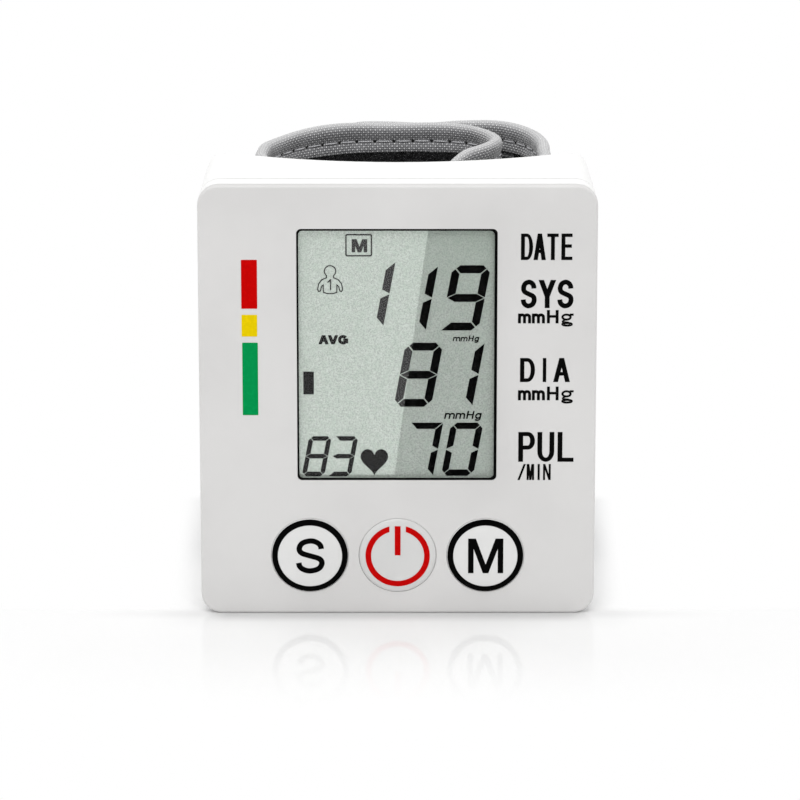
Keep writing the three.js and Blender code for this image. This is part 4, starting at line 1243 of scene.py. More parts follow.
def segment_loops(figure, left, bottom, height, width, stroke, slant):
    """Outlines of the lit segments of one figure, leaning over by slant."""
    lit = LIT[figure]
    gap = 0.15 * stroke
    slit = 0.7 * gap
    chamfer = 0.9 * stroke
    middle = height / 2

    def corner(neighbour):
        if neighbour in lit and figure != "7":
            return [(stroke + slit, stroke), ((chamfer + slit) / 2, (chamfer - slit) / 2), (chamfer, 0)]
        return [(stroke + slit, stroke), (slit, 0)]

    def level(one, other):
        return corner(one) + [(width - run, deep) for run, deep in reversed(corner(other))]

    def standing(one):
        end = middle - gap / 2
        return [(deep, run) for run, deep in [*corner(one), (end, 0), (end - stroke / 2, stroke)]]

    tip = 0.8 * gap
    shoulder = tip + 0.96 * stroke
    low, high = middle - stroke / 2, middle + stroke / 2
    bar = [
        (tip, middle), (shoulder, high), (width - shoulder, high),
        (width - tip, middle), (width - shoulder, low), (shoulder, low),
    ]
    shapes = {
        "a": level("f", "b"), "b": standing("a"), "c": standing("d"), "d": level("e", "c"),
        "e": standing("d"), "f": standing("a"), "g": bar,
    }
    loops = []
    for name in lit:
        loop = shapes[name]
        if name in "bc":
            loop = [(width - across, up) for across, up in loop]
        if name in "abf":
            loop = [(across, height - up) for across, up in loop]
        loops.append([(left + across + slant * up, bottom + up) for across, up in loop])
    return loops


def heart_loop(left, right, bottom, top):
    """A plain heart that fills a box, from its notch round to the notch again."""
    loop = []
    for step in range(40):
        angle = 2 * math.pi * step / 40
        across = 16 * math.sin(angle) ** 3
        up = 13 * math.cos(angle) - 5 * math.cos(2 * angle) - 2 * math.cos(3 * angle) - math.cos(4 * angle)
        loop.append((across, up))
    low = min(up for _, up in loop)
    high = max(up for _, up in loop)
    wide = max(across for across, _ in loop)
    middle = (left + right) / 2
    return [
        (middle + across / wide * (right - left) / 2, bottom + (up - low) / (high - low) * (top - bottom))
        for across, up in loop
    ]


def user_loops():
    """Plain sign for a user: a round head over shoulders with two arms, drawn as a line."""
    head = arc(USER_MIDDLE, USER_HEAD, 1.0, 1.0, -52, 232, 20)
    body = [(USER_MIDDLE + across, height) for across, height in USER_HALF]
    body += [(USER_MIDDLE - across, height) for across, height in reversed(USER_HALF[:-1])]
    return line_loops([*reversed(head), *body], USER_LINE, closed=True)


def build_display():
    settings = bpy.context.scene.monitor_display
    face = panel_face() + DISPLAY_FRONT
    glass = window_plate("display_plate", DISPLAY_FRONT, corners_of("lcd_glass")[1].y - panel_face())
    finished(glass, display_glass("display_reflector", settings.glass), "display_glass", "case", "lcd_glass")
    front, back = face - SIGN_FRONT, face - SIGN_BACK
    ink = segment_ink("segment_dark", settings.segment, GLOSSY_INK)
    dull = segment_ink("segment_dull", settings.segment, DULL_INK)

    def shown(piece, shade):
        finished(piece, shade, "display_glass", "case")

    for name, (source, cells, width, stroke) in FIGURES.items():
        loops = []
        for figure, cell in zip(getattr(settings, source), cells):
            loops += segment_loops(figure, *cell, width, stroke, settings.slant)
        shown(flat(name, loops, front, back), dull if name in DULL_SIGNS else ink)
    signs = [oblong(*LEVEL_BAR), heart_loop(*HEART_BOX)]
    shown(flat("sign_heart_and_level", signs, front, back), dull)
    frame_loops = [rounded(*FRAME_OUTER, 0.35), rounded(*FRAME_INNER, 0.15)]
    shown(flat("sign_memory_frame", frame_loops, front, back), ink)
    shown(flat("sign_user", user_loops(), front, back), ink)
    for name, text, box, thick, edges, slant in SIGNS:
        sign = word(name, text, box, thick, edges, front, back, slant, hooked=True)
        shown(sign, dull if name in DULL_SIGNS else ink)


# Buttons

BUTTONS = {"set_button": "S", "power_button": "", "memory_button": "M"}
CROWN = 0.07
LETTER_HALF = {"S": 2.55, "M": 3.13}
LETTER_HALF_HEIGHT = 3.25
LETTER_WEIGHT = 0.98
LETTER_SHIFT = 0.06
RIM = 0.11
POWER_LINE = 1.0
POWER_GAP = 1.46
POWER_BAR = (-0.52, 0.52, 0.12, 5.57)


def button_height():
    low, high = corners_of("power_button")
    return (low.z + high.z) / 2


def button_places():
    return [sum(corners_of(node)[side].x for side in (0, 1)) / 2 for node in BUTTONS]


def button_cap(node, x, radius, edge):
    """A button with its flange, a rounded rim and a slightly domed face."""
    low, high = corners_of(node)
    front = low.y
    flange = (high.x - low.x) / 2
    stations = [
        (1.6, high.y), (flange - 0.1, high.y), (flange, high.y - 0.1), (flange, high.y - 0.75),
        (flange - 0.1, high.y - 0.85), (radius + RIM, high.y - 0.85), (radius + RIM, front + 0.5),
        (radius + RIM - 0.03, front + 0.4), (radius - 0.08, front + 0.26), (radius - 0.42, front + 0.11),
        (edge, front + CROWN / 2), (edge * 0.8, front + CROWN * 0.35), (edge * 0.55, front + CROWN * 0.15),
        (edge * 0.3, front + CROWN * 0.04), (edge * 0.1, front),
    ]
    cap = turned(f"{node}_cap", stations, x, button_height(), 128)
    soften(cap, 40)
    return cap


def button_ring(node, x, front, radius, edge):
    """The printed ring, which wraps over the rim of a button."""
    stations = [
        (radius, front + 0.4), (radius + 0.005, front + 0.29), (radius - 0.1, front + 0.21),
        (radius - 0.42, front + 0.07), (edge, front - 0.005), (edge + 0.02, front + 0.06),
        (radius - 0.3, front + 0.3),
    ]
    ring = turned(f"{node}_ring", stations, x, button_height(), 128, ring=True)
    soften(ring, 50)
    return ring


def power_sign(x, outer, front, back):
    """A ring that is open at the top, with a bar in the opening."""
    height = button_height()
    sides = []
    for radius in (outer, outer - POWER_LINE):
        start = math.degrees(math.acos(POWER_GAP / radius))
        sides.append(arc(x, height, radius, radius, 180 - start, 360 + start, 96))
    left, right, bottom, top = POWER_BAR
    bar = oblong(x + left, x + right, height + bottom, height + top)
    return flat("power_sign", [sides[0] + sides[1][::-1], bar], front, back)


def build_buttons():
    settings = bpy.context.scene.monitor_buttons
    radius = settings.radius / MM
    edge = radius - settings.ring / MM
    face = moulded("button_plastic", settings.face, 0.3)
    centre = moulded("power_plastic", settings.centre, 0.3)
    dark = printed("button_ink", settings.dark, 0.3)
    red = printed("power_ink", settings.red, 0.34)
    low, high = button_height() - LETTER_HALF_HEIGHT, button_height() + LETTER_HALF_HEIGHT
    for (node, letter), x in zip(BUTTONS.items(), button_places()):
        finished(button_cap(node, x, radius, edge), face if letter else centre, "button", node, node)
        face_depth = corners_of(node)[0].y
        front, back = face_depth - 0.02, face_depth + 0.05
        if letter:
            finished(button_ring(node, x, face_depth, radius, edge), dark, "button", node)
            half = LETTER_HALF[letter]
            box = (x - half + LETTER_SHIFT, x + half + LETTER_SHIFT, low, high)
            sign = word(f"{node}_letter", letter, box, LETTER_WEIGHT, (0, 1), front, back)
            finished(sign, dark, "button", node)
        else:
            sign = power_sign(x, settings.power_ring / MM, front, back)
            finished(sign, red, "button", node)


# Case

LID_RIBS, RIB_STEP, FIRST_RIB = 6, 2, 6
THREAD_TURNS = 20
SLOT_REACH, SLOT_HALF_WIDTH, SLOT_DEPTH = 1.25, 0.2, 0.9


def lid_rib(height):
    """One rounded grip rib on the outside of the battery lid."""
    rib = rod("rib", 0.45, corners_of("battery_cover")[0].x + 0.37, height, -20, -13, 16)
    with Editing(rib, "EDGE") as editing:
        editing.pick(lambda edge: depth_share(edge) < 0.01)
        bpy.ops.mesh.bevel(offset=0.3 * MM, segments=3, affect="EDGES")
    soften(rib)
    return rib


def build_case():
    settings = bpy.context.scene.monitor_case
    white = moulded("case_plastic", settings.colour, 0.34, 0.02, 0.015)
    for name, node in (("case_front_shell", "front_case"), ("case_rear_shell", "rear_case")):
        finished(smooth_copy(name, node, settings.edge), white, "case", "case", node)
    lid = smooth_copy("battery_lid", "battery_cover", settings.edge)
    first = corners_of("battery_cover")[1].z - FIRST_RIB
    lid = join([lid, *(lid_rib(first - index * RIB_STEP) for index in range(LID_RIBS))])
    finished(lid, white, "case", "battery_cover", "battery_cover")


def build_screws():
    """Screws with a cross slot in the head and a threaded shank."""
    steel = metal("screw_steel", paint(214, 214, 210), 0.36)
    for place in ("lower_left", "lower_right", "upper_left", "upper_right"):
        node = f"case_screw_{place}"
        low, high = corners_of(node)
        x, z = (low.x + high.x) / 2, (low.z + high.z) / 2
        head = (high.x - low.x) / 2
        front, back = low.y, high.y
        stations = [
            (0.15, back), (head * 0.6, back - 0.04), (head - 0.3, back - 0.25), (head, back - 0.75),
            (head, back - 1.3), (1.1, back - 1.45),
        ]
        for index in range(THREAD_TURNS):
            depth = back - 1.8 - (back - 2.4 - front) * index / THREAD_TURNS
            stations.append((0.85 if index % 2 else 1.1, depth))
        stations += [(0.8, front + 0.6), (0.1, front)]
        screw = turned(f"screw_{place}", stations, x, z, 32)
        slots = [
            block("slot", (x - wide, back - SLOT_DEPTH, z - tall), (x + wide, back + 1, z + tall))
            for wide, tall in ((SLOT_REACH, SLOT_HALF_WIDTH), (SLOT_HALF_WIDTH, SLOT_REACH))
        ]
        cut(screw, slots)
        soften(screw, 40)
        finished(screw, steel, "steel", "case", node)


# Inner parts

def build_inner_parts():
    """Finishes for the nodes that keep their own shape."""
    finishes = {
        "dark_plastic": moulded("dark_plastic", paint(34, 34, 36), 0.45, 0.02),
        "dark_rubber": rubber("dark_rubber", paint(26, 26, 27)),
        "board": circuit("circuit_board", paint(16, 84, 48)),
        "steel": metal("plated_steel", paint(190, 190, 186)),
        "cell_jacket": jacket("cell_jacket", paint(28, 30, 38), paint(196, 150, 62)),
        "hose": hose_wall("hose_silicone", paint(226, 226, 220)),
        "case": moulded("inner_white", paint(240, 240, 238), 0.4),
        "fascia": moulded("inner_grey", paint(216, 216, 214), 0.4),
        "button": moulded("inner_button", paint(219, 219, 217), 0.4),
    }
    pale = moulded("air_part_plastic", paint(214, 212, 204), 0.42, 0.02)
    chip = moulded("chip_resin", paint(24, 24, 26), 0.5, 0.03)
    special = {name: pale for name in ("air_manifold", "pump_head", "cuff_nozzle", "exhaust_valve")}
    special.update(battery_tray=finishes["case"], controller_chip=chip, pressure_sensor=chip)
    for name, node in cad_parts.items():
        slots = [slot.material.name if slot.material else "" for slot in node.material_slots]
        material = special.get(name) or finishes.get(slots[0] if slots else "")
        if material:
            node.data.materials.clear()
            node.data.materials.append(material)


# Cuff: the band is a spiral through the same places as the solids. All sizes here are in millimetres.

BAND = 2.3
LOW_EDGE, HIGH_EDGE = (corner.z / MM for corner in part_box("cuff_saddle_cover"))
MIDDLE = (LOW_EDGE + HIGH_EDGE) / 2
LEFT_RADIUS, RIGHT_RADIUS = 25.4, 27.6
LOOP_DEPTH = 58.7
CRADLE_DEPTH, CRADLE_RADIUS = 23.7, 74.5
SADDLE_LEFT, SADDLE_RIGHT, SADDLE_OFFSET, SADDLE_POINTS = -22.0, 22.0, 1.8, 17
ROOT_RISE = 5.6
LAYER_GAP = 0.8
INNER_PLAN = [
    (0.3, -0.02), (0.49, 0.1), (0.65, 0.27), (0.745, 0.5), (0.735, 0.71), (0.6, 0.9), (0.37, 0.985),
    (0, 1), (-0.38, 0.95), (-0.74, 0.76), (-0.95, 0.48), (-1.005, 0.25), (-1, 0),
]
OUTER_PLAN = [(0.985, 0), (1, 0.25), (0.995, 0.5), (0.945, 0.74), (0.83, 0.93), (0.66, 1.05)]
OVERLAP = [0.4, 0.47, 0.54, 0.61, 0.68]
INNER_BEND, OUTER_BEND = 9, 4
SPAN_STEPS = 40
COVER_STEP, LAYER_STEP = 0.6, 1.0
BEND_REACH, BEND_HEIGHT = 3.5, 40
COVERS = {
    "inner_tip": ("cuff_inner_back_cover",), "inner_root": ("cuff_inner_side_cover", "cuff_saddle_cover"),
    "outer_root": ("cuff_outer_side_cover",), "outer_tip": ("cuff_outer_back_cover",),
}
LININGS = {
    "inner_tip": ("cuff_inner_back_lining",), "inner_root": ("cuff_inner_side_lining", "cuff_saddle_lining"),
    "outer_root": ("cuff_outer_side_lining",), "outer_tip": (),
}
FILLINGS = {
    "inner_tip": ("bladder_inner_back",), "inner_root": ("bladder_inner_side", "bladder_saddle"),
    "outer_root": ("stiffener_outer_side",), "outer_tip": ("stiffener_outer_back",),
}
FILLING_INSET = 3
END_STEPS, END_REACH = (0.02, 0.08, 0.2, 0.4, 0.7, 1.1), 1.4
TAPER, TAPER_LENGTH = 0.6, 27
STITCH_PULL, STITCH_REACH = 0.14, 0.9
RIM_WAVE, SEAM_HALF, RIM_DEPTH = 0.18, 31, 2.5
SINK_OUTSIDE = [(-0.5, 0.1), (-0.2, 0.2), (0.0, 0.24), (0.2, 0.2), (0.5, 0.1)]
SINK_INSIDE = [(0.5, 0.12), (0.2, 0.24), (0.0, 0.28), (-0.2, 0.24), (-0.5, 0.12)]
THREAD_BOW = [
    (0.06, 0.32), (0.16, 0.02), (0.32, -0.07), (0.5, -0.1), (0.68, -0.07), (0.84, 0.02), (0.94, 0.32),
]
THREAD_RADIUS, THREAD_SIDES = 0.17, 6
HOOK_MARGIN, LOOP_MARGIN = 6.2, 8.5
LOOP_SHARE = 0.45


def cradle_place(across):
    centre = CRADLE_DEPTH + CRADLE_RADIUS
    return Vector((across, centre - math.sqrt((CRADLE_RADIUS - SADDLE_OFFSET) ** 2 - across ** 2)))


class Course:
    """A smooth curve through places, walked by its length."""

    def __init__(self, places):
        self.places = places
        self.samples = [
            self.span(index, step / SPAN_STEPS)
            for index in range(len(places) - 1)
            for step in range(SPAN_STEPS)
        ]
        self.samples.append(places[-1])
        self.runs = [0.0]
        for before, after in zip(self.samples, self.samples[1:]):
            self.runs.append(self.runs[-1] + (after - before).length)
        self.length = self.runs[-1]

    def span(self, index, share):
        last = len(self.places) - 1
        before, start = self.places[max(index - 1, 0)], self.places[index]
        end, after = self.places[min(index + 1, last)], self.places[min(index + 2, last)]
        leave, arrive = (end - before) / 2, (after - start) / 2
        cube = start * 2 - end * 2 + leave + arrive
        square = end * 3 - start * 3 - leave * 2 - arrive
        return ((cube * share + square) * share + leave) * share + start

    def at(self, run):
        run = min(max(run, 0.0), self.length)
        low, high = 0, len(self.runs) - 1
        while high - low > 1:
            middle = (low + high) // 2
            if self.runs[middle] <= run:
                low = middle
            else:
                high = middle
        share = (run - self.runs[low]) / (self.runs[high] - self.runs[low])
        return self.samples[low].lerp(self.samples[high], share)

    def inward(self, run):
        ahead = self.at(min(run + 0.4, self.length)) - self.at(max(run - 0.4, 0.0))
        ahead.normalize()
        return Vector((-ahead.y, ahead.x))

    def offset(self, run, inward):
        return self.at(run) + self.inward(run) * inward

    def nearest(self, place):
        distances = [(sample - place).length for sample in self.samples]
        return self.runs[distances.index(min(distances))]

    def raised(self, place, height):
        """A place of the plan at a height, in the scene."""
        return Vector((place.x, place.y + self.depth_shift, height)) * MM


def cuff_course():
    """The outer face of the band in plan, from the inner flap's end round to the outer flap's end."""
    root_depth = cradle_place(SADDLE_LEFT).y + ROOT_RISE
    run_back = LOOP_DEPTH - root_depth
    inner = [Vector((across * LEFT_RADIUS, root_depth + along * run_back)) for across, along in INNER_PLAN]
    outer = [Vector((across * RIGHT_RADIUS, root_depth + along * run_back)) for across, along in OUTER_PLAN]
    step = (SADDLE_RIGHT - SADDLE_LEFT) / (SADDLE_POINTS - 1)
    saddle = [cradle_place(SADDLE_LEFT + step * index) for index in range(SADDLE_POINTS)]
    flap = Course(inner)
    over = [flap.offset(share * flap.length, -BAND - LAYER_GAP) for share in OVERLAP]
    course = Course([*inner, *saddle, *outer, *over])
    course.depth_shift = panel_face()
    course.hinges = {
        "inner_tip": course.nearest(inner[INNER_BEND]),
        "inner_root": course.nearest(inner[-1]),
        "outer_root": course.nearest(outer[0]),
        "outer_tip": course.nearest(outer[OUTER_BEND]),
    }
    return course


def stretches(course):
    """The four lengths that the band is made in, each with the name of its hinge."""
    hinges = list(course.hinges.values())
    cuts = [0.0, *((before + after) / 2 for before, after in zip(hinges, hinges[1:])), course.length]
    return zip(course.hinges, cuts, cuts[1:])


def wobble(run, height):
    """Slow uneven waves of the sewn band, in millimetres inward."""
    return 0.1 * math.sin(run / 7.3 + height / 19) * math.cos(height / 11 - run / 23)


def tapered(course, run, height):
    """The outer flap gets a little narrower to its end."""
    share = min(1.0, max(0.0, (run - course.length + TAPER_LENGTH) / (TAPER_LENGTH / 3)))
    return height - TAPER * share * share * (3 - 2 * share) * (height - MIDDLE) / (HIGH_EDGE - MIDDLE)


def seam_heights(settings):
    return HIGH_EDGE - settings.seam / MM, LOW_EDGE + settings.seam / MM


def stitch_lift(course, settings):
    """Each stitch draws the cover in, so that it puffs out between the needle holes."""
    length = settings.stitch / MM
    seams = seam_heights(settings)

    def lift(run, inward, height):
        away = min(abs(height - mark) for mark in seams)
        between = 0.5 + 0.5 * math.cos(2 * math.pi * (run / length - 0.5))
        pull = STITCH_PULL * math.exp(-((away / STITCH_REACH) ** 2)) * between
        towards = 1 if inward < BAND / 2 else -1
        rim = max(0.0, abs(height - MIDDLE) - SEAM_HALF) / RIM_DEPTH
        wave = RIM_WAVE * math.sin(run / 5.1) * math.sin(run / 13) * rim * (1 if height > MIDDLE else -1)
        return inward + towards * pull + wobble(run, height), tapered(course, run, height) + wave

    return lift


def plain_lift(run, inward, height):
    return inward + wobble(run, height), height


def tube(mesh, rings, runs, turns):
    """Joins rings of corners to a closed form. Its map holds the run of each ring and each corner's turn."""
    layer = mesh.loops.layers.uv.get("UVMap") or mesh.loops.layers.uv.new("UVMap")
    size = len(rings[0])
    for index in range(len(rings) - 1):
        for side in range(size):
            marks = [(index, side), (index, side + 1), (index + 1, side + 1), (index + 1, side)]
            face = mesh.faces.new([rings[ring][turn % size] for ring, turn in marks])
            face.smooth = True
            for loop, (ring, turn) in zip(face.loops, marks):
                loop[layer].uv = (runs[ring] * MM, turns[turn])
    mesh.faces.new(rings[0])
    mesh.faces.new(rings[-1])


def mesh_piece(name, mesh, angle):
    bmesh.ops.recalc_face_normals(mesh, faces=mesh.faces)
    data = bpy.data.meshes.new(name)
    mesh.to_mesh(data)
    mesh.free()
    piece = added(name, data)
    soften(piece, angle)
    return piece


def band_mesh(name, course, start, end, section, step, lift):
    """A closed strip of the band between two runs, through a section of (inward, height) points. Where
    it reaches a flap's free end, it gets rounded corners and a rounded edge."""
    corner = bpy.context.scene.monitor_cuff.corner / MM
    half = (HIGH_EDGE - LOW_EDGE) / 2
    count = max(2, round((end - start) / step))
    runs = [start + (end - start) * index / count for index in range(count + 1)]
    tips = [run for run in (start, end) if run in (0, course.length)]
    if start in tips:
        runs = [start + away for away in END_STEPS] + [run for run in runs if run > start + END_REACH]
    if end in tips:
        runs = [run for run in runs if run < end - END_REACH] + [end - away for away in reversed(END_STEPS)]
    core = sum(inward for inward, _ in section) / len(section)
    mesh = bmesh.new()
    rings = []
    for run in runs:
        away = min((abs(run - tip) for tip in tips), default=math.inf)
        rise, swell = 1.0, 1.0
        if away < corner:
            rise = (half - corner + math.sqrt(corner ** 2 - (corner - away) ** 2)) / half
        if away < BAND / 2:
            swell = math.sqrt(1 - ((BAND / 2 - away) / (BAND / 2)) ** 2)
        ring = []
        for inward, height in section:
            deep, up = lift(run, core + (inward - core) * swell, MIDDLE + (height - MIDDLE) * rise)
            ring.append(mesh.verts.new(course.raised(course.offset(run, deep), up)))
        rings.append(ring)
    turns = [0.0]
    for here, there in zip(section, [*section[1:], section[0]]):
        turns.append(turns[-1] + (Vector(there) - Vector(here)).length)
    tube(mesh, rings, runs, [turn * MM for turn in turns])
    return mesh_piece(name, mesh, 50)


def upper_half(points):
    """A whole section from its upper half, which runs from the middle of the outer face over the rim to
    the middle of the inner face. It starts at the inner face, where the lining covers the weave's joint."""
    lower = [(inward, 2 * MIDDLE - height) for inward, height in reversed(points)]
    whole = points + [point for point in lower if abs(point[1] - MIDDLE) > 0.01]
    start = len(points) - 1
    return whole[start:] + whole[:start]


def cover_section(settings):
    """The sewn cover: a rolled rim, a seam pressed into both faces, and a recess for the lining."""
    seam = HIGH_EDGE - settings.seam / MM
    hem = HIGH_EDGE - settings.hem / MM
    roll = BAND / 2
    points = []
    for height in [MIDDLE + (hem - MIDDLE) * step / 12 for step in range(12)]:
        points.append((-0.12 * math.sin(math.pi * min(1, (hem - height) / 12) / 2), height))
    points += [(0.0, hem), (0.03, seam + (hem - seam) * 0.6)]
    points += [(sink, seam + up) for up, sink in SINK_OUTSIDE]
    points += [(0.0, seam + 1.1), (-0.02, seam + 1.8)]
    for step in range(13):
        angle = math.pi * step / 12
        points.append((roll - roll * math.cos(angle), HIGH_EDGE - roll + roll * math.sin(angle)))
    points += [(BAND + 0.04, seam + 1.8), (BAND, seam + 1.1)]
    points += [(BAND - sink, seam + up) for up, sink in SINK_INSIDE]
    points += [
        (BAND, seam + (hem - seam) * 0.5), (BAND + 0.02, hem + 0.45), (BAND - 0.06, hem + 0.12),
        (BAND - 0.3, hem), (BAND - 0.5, hem - 0.05),
    ]
    points += [(BAND - 0.5, hem - (hem - MIDDLE) * step / 12) for step in range(1, 13)]
    return upper_half(points)


def strip_section(near, far, margin):
    """A thin strip with soft edges, as far from both rims as the margin says."""
    low, high = LOW_EDGE + margin, HIGH_EDGE - margin
    soft = min((far - near) / 2, 0.2)
    outer = [(near, low + soft + (high - low - 2 * soft) * step / 24) for step in range(25)]
    inner = [(far, high - soft - (high - low - 2 * soft) * step / 24) for step in range(25)]
    return [*outer, ((near + far) / 2, high), *inner, ((near + far) / 2, low)]


def marks_at(section, heights):
    """Where along the section, in metres, it passes the given heights."""
    marks = []
    run = 0.0
    for index, (inward, height) in enumerate(section):
        if any(abs(height - mark) < 0.01 for mark in heights):
            marks.append(run * MM)
        following = section[(index + 1) % len(section)]
        run += math.hypot(following[0] - inward, following[1] - height)
    return marks


def sewn(piece, material, slot, course, hinge, *nodes):
    """Gives a piece of the cuff its finish, hides the nodes that it stands for and puts its place into its
    mesh. The ends of a bend over its hinge are worked out, but nothing uses them.
    """
    coated(piece, material, slot, *nodes)
    run = course.hinges[hinge]
    ahead = Vector((0, 1))
    if hinge.endswith("tip"):
        ahead = (course.at(run + 0.5) - course.at(run - 0.5)).normalized()
        ahead *= 1 if hinge.startswith("outer") else -1
    middle = course.offset(run, BAND / 2)
    start = course.raised(middle - ahead * BEND_REACH, BEND_HEIGHT)
    end = course.raised(middle + ahead * BEND_REACH, BEND_HEIGHT)
    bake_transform(piece)


def plain_band(name, course, start, end, section):
    """A layer or patch of the band, which no stitch draws in."""
    return band_mesh(name, course, start, end, section, LAYER_STEP, plain_lift)


def build_cuff_covers():
    settings = bpy.context.scene.monitor_cuff
    course = cuff_course()
    section = cover_section(settings)
    weave = woven(
        "cuff_weave", settings.dark, settings.light, settings.thread, settings.stitch,
        marks_at(section, seam_heights(settings)), marks_at(section, (HIGH_EDGE, LOW_EDGE)),
    )
    lift = stitch_lift(course, settings)
    for hinge, start, end in stretches(course):
        cover = band_mesh(f"cuff_cover_{hinge}", course, start, end, section, COVER_STEP, lift)
        sewn(cover, weave, "woven_cover", course, hinge, *COVERS[hinge])


def build_cuff_layers():
    """Lining, air bladder and stiffener, in the same four lengths as the cover."""
    settings = bpy.context.scene.monitor_cuff
    course = cuff_course()
    hem = settings.hem / MM
    black = mesh_cloth("mesh_lining", settings.lining)
    film = vinyl("bladder_film", paint(70, 72, 78))
    stiff = moulded("stiffener_plastic", paint(40, 40, 42), 0.5)
    lining_section = strip_section(BAND - 0.45, BAND - 0.14, hem - 0.2)
    filling_section = strip_section(0.85, 1.35, FILLING_INSET)
    for hinge, start, end in stretches(course):
        first, last = max(start, hem), min(end, course.hinges["outer_tip"])
        lining = plain_band(f"cuff_lining_{hinge}", course, first, last, lining_section)
        sewn(lining, black, "mesh_lining", course, hinge, *LININGS[hinge])
        first, last = max(start, FILLING_INSET), min(end, course.length - FILLING_INSET)
        filling = plain_band(f"cuff_filling_{hinge}", course, first, last, filling_section)
        material, slot = (stiff, "dark_plastic") if hinge.startswith("outer") else (film, "bladder")
        sewn(filling, material, slot, course, hinge, *FILLINGS[hinge])


def build_cuff_patches():
    course = cuff_course()
    start, end = course.hinges["outer_tip"] + 0.3, course.length - HOOK_MARGIN
    section = strip_section(BAND - 0.5, BAND + 0.02, HOOK_MARGIN)
    hook = plain_band("cuff_hook_patch", course, start, end, section)
    hooks = touch_tape("hook_tape", paint(22, 23, 26), paint(70, 71, 76), 1500)
    sewn(hook, hooks, "mesh_lining", course, "outer_tip", "hook_patch")
    end = course.hinges["inner_tip"] - 0.15
    section = strip_section(-0.62, -0.08, LOOP_MARGIN)
    loop = plain_band("cuff_loop_patch", course, end - end * LOOP_SHARE, end, section)
    loops = touch_tape("loop_tape", paint(88, 89, 93), paint(176, 176, 180), 2400)
    sewn(loop, loops, "woven_cover", course, "inner_tip", "loop_patch")


def thread_ring(mesh, course, run, inward, height):
    """Corners round the middle of a thread."""
    middle = course.offset(run, inward)
    ring = []
    for side in range(THREAD_SIDES):
        angle = 2 * math.pi * side / THREAD_SIDES
        place = middle + course.inward(run) * THREAD_RADIUS * math.cos(angle)
        ring.append(mesh.verts.new(course.raised(place, height + THREAD_RADIUS * math.sin(angle))))
    return ring


def build_cuff_stitches():
    """Threads of the four seams, one short bow from needle hole to needle hole."""
    settings = bpy.context.scene.monitor_cuff
    course = cuff_course()
    length = settings.stitch / MM
    lift = stitch_lift(course, settings)
    material = sewing_thread("sewing_thread", paint(216, 216, 219))
    faces = ((SINK_OUTSIDE[2][1], 1), (BAND - SINK_INSIDE[2][1], -1))
    turns = [side / THREAD_SIDES for side in range(THREAD_SIDES + 1)]
    for hinge, start, end in stretches(course):
        first = math.ceil((start + 0.4) / length - 0.5) + (2 if start == 0 else 0)
        last = math.floor((end - 0.4) / length - 0.5) - (2 if end == course.length else 0)
        mesh = bmesh.new()
        for number in range(first, last):
            runs = [(number + 0.5 + share) * length for share, _ in THREAD_BOW]
            for height in seam_heights(settings):
                for surface, towards in faces:
                    rings = []
                    for run, (_, sink) in zip(runs, THREAD_BOW):
                        deep, up = lift(run, surface, height)
                        rings.append(thread_ring(mesh, course, run, deep + towards * sink, up))
                    tube(mesh, rings, runs, turns)
        piece = mesh_piece(f"cuff_stitches_{hinge}", mesh, 70)
        sewn(piece, material, "woven_cover", course, hinge)


# Operators, one for each piece or group of like pieces

class MONITOR_OT_stage(bpy.types.Operator):
    """Sets the camera, the floor and the studio light"""
    bl_idname = "monitor.stage"
    bl_label = "Stage"

    def execute(self, context):
        set_stage()
        return {"FINISHED"}


class MONITOR_OT_panel(bpy.types.Operator):
    """Builds the front panel with its window and button holes"""
    bl_idname = "monitor.panel"
    bl_label = "Front panel"

    def execute(self, context):
        build_panel()
        return {"FINISHED"}


class MONITOR_OT_prints(bpy.types.Operator):
    """Prints the scale bars and the words on the front panel"""
    bl_idname = "monitor.prints"
    bl_label = "Panel print"

    def execute(self, context):
        build_prints()
        return {"FINISHED"}


class MONITOR_OT_window(bpy.types.Operator):
    """Finishes the clear window and its dark border"""
    bl_idname = "monitor.window"
    bl_label = "Window"

    def execute(self, context):
        build_window()
        return {"FINISHED"}


class MONITOR_OT_display(bpy.types.Operator):
    """Builds the figures and signs of the display"""
    bl_idname = "monitor.display"
    bl_label = "Display"

    def execute(self, context):
        build_display()
        return {"FINISHED"}


class MONITOR_OT_buttons(bpy.types.Operator):
    """Builds the three buttons with their rings and letters"""
    bl_idname = "monitor.buttons"
    bl_label = "Buttons"

    def execute(self, context):
        build_buttons()
        return {"FINISHED"}


class MONITOR_OT_case(bpy.types.Operator):
    """Builds the two case shells and the battery lid"""
    bl_idname = "monitor.case"
    bl_label = "Case"

    def execute(self, context):
        build_case()
        return {"FINISHED"}


class MONITOR_OT_screws(bpy.types.Operator):
    """Builds the four case screws"""
    bl_idname = "monitor.screws"
    bl_label = "Case screws"

    def execute(self, context):
        build_screws()
        return {"FINISHED"}


class MONITOR_OT_inner_parts(bpy.types.Operator):
    """Gives the board, pump, batteries and hoses their finishes"""
    bl_idname = "monitor.inner_parts"
    bl_label = "Inner parts"

    def execute(self, context):
        build_inner_parts()
        return {"FINISHED"}


class MONITOR_OT_cuff_covers(bpy.types.Operator):
    """Builds the woven cover of the cuff"""
    bl_idname = "monitor.cuff_covers"
    bl_label = "Cuff cover"

    def execute(self, context):
        build_cuff_covers()
        return {"FINISHED"}


class MONITOR_OT_cuff_layers(bpy.types.Operator):
    """Builds the lining, the air bladder and the stiffener of the cuff"""
    bl_idname = "monitor.cuff_layers"
    bl_label = "Cuff layers"

    def execute(self, context):
        build_cuff_layers()
        return {"FINISHED"}


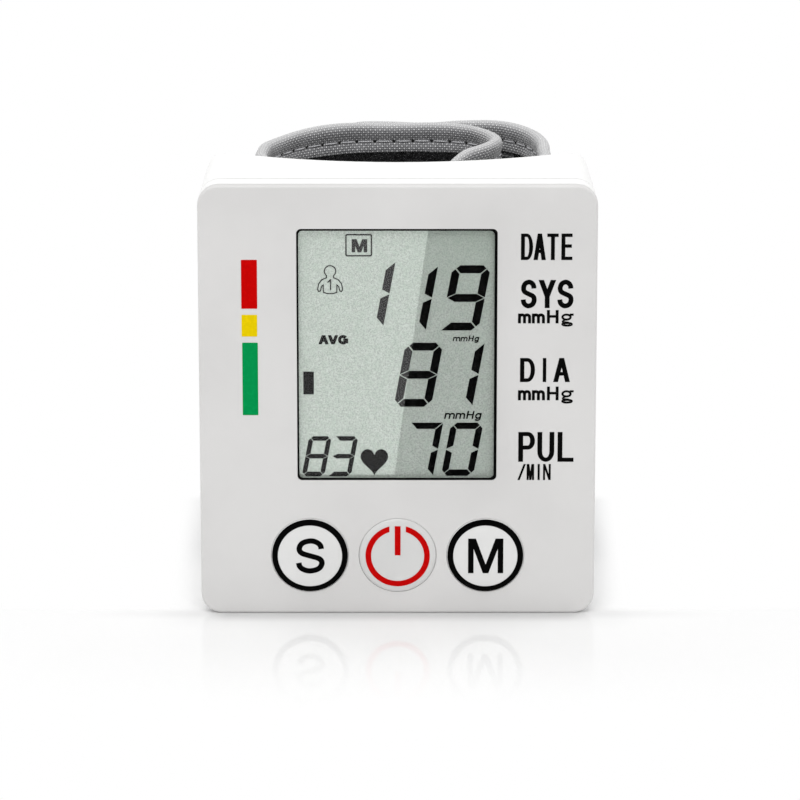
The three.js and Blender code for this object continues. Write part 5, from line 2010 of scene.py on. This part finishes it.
class MONITOR_OT_cuff_patches(bpy.types.Operator):
    """Builds the hook patch and the loop patch of the cuff"""
    bl_idname = "monitor.cuff_patches"
    bl_label = "Cuff patches"

    def execute(self, context):
        build_cuff_patches()
        return {"FINISHED"}


class MONITOR_OT_cuff_stitches(bpy.types.Operator):
    """Sews the seams of the cuff"""
    bl_idname = "monitor.cuff_stitches"
    bl_label = "Cuff stitches"

    def execute(self, context):
        build_cuff_stitches()
        return {"FINISHED"}


OPERATORS = (
    MONITOR_OT_stage, MONITOR_OT_inner_parts, MONITOR_OT_panel, MONITOR_OT_prints, MONITOR_OT_window,
    MONITOR_OT_display, MONITOR_OT_buttons, MONITOR_OT_case, MONITOR_OT_screws, MONITOR_OT_cuff_covers,
    MONITOR_OT_cuff_layers, MONITOR_OT_cuff_patches, MONITOR_OT_cuff_stitches,
)


class MONITOR_PT_pieces(bpy.types.Panel):
    bl_idname = "MONITOR_PT_pieces"
    bl_label = "Wrist blood pressure monitor"
    bl_space_type = "VIEW_3D"
    bl_region_type = "UI"
    bl_category = "Monitor"

    def draw(self, context):
        for operator in OPERATORS:
            self.layout.operator(operator.bl_idname)
        for name, group in SETTINGS.items():
            box = self.layout.box()
            box.label(text=group.__name__.replace("Settings", ""))
            for field in group.__annotations__:
                box.prop(getattr(context.scene, name), field)


def register():
    for group in SETTINGS.values():
        bpy.utils.register_class(group)
    for name, group in SETTINGS.items():
        setattr(bpy.types.Scene, name, PointerProperty(type=group))
    for operator in OPERATORS:
        bpy.utils.register_class(operator)
    bpy.utils.register_class(MONITOR_PT_pieces)


def unregister():
    bpy.utils.unregister_class(MONITOR_PT_pieces)
    for operator in reversed(OPERATORS):
        bpy.utils.unregister_class(operator)
    for name in SETTINGS:
        delattr(bpy.types.Scene, name)
    for group in reversed(SETTINGS.values()):
        bpy.utils.unregister_class(group)


def main():
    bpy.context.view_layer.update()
    register()
    for operator in OPERATORS:
        group, name = operator.bl_idname.split(".")
        getattr(getattr(bpy.ops, group), name)()


if __name__ == "__main__":
    main()
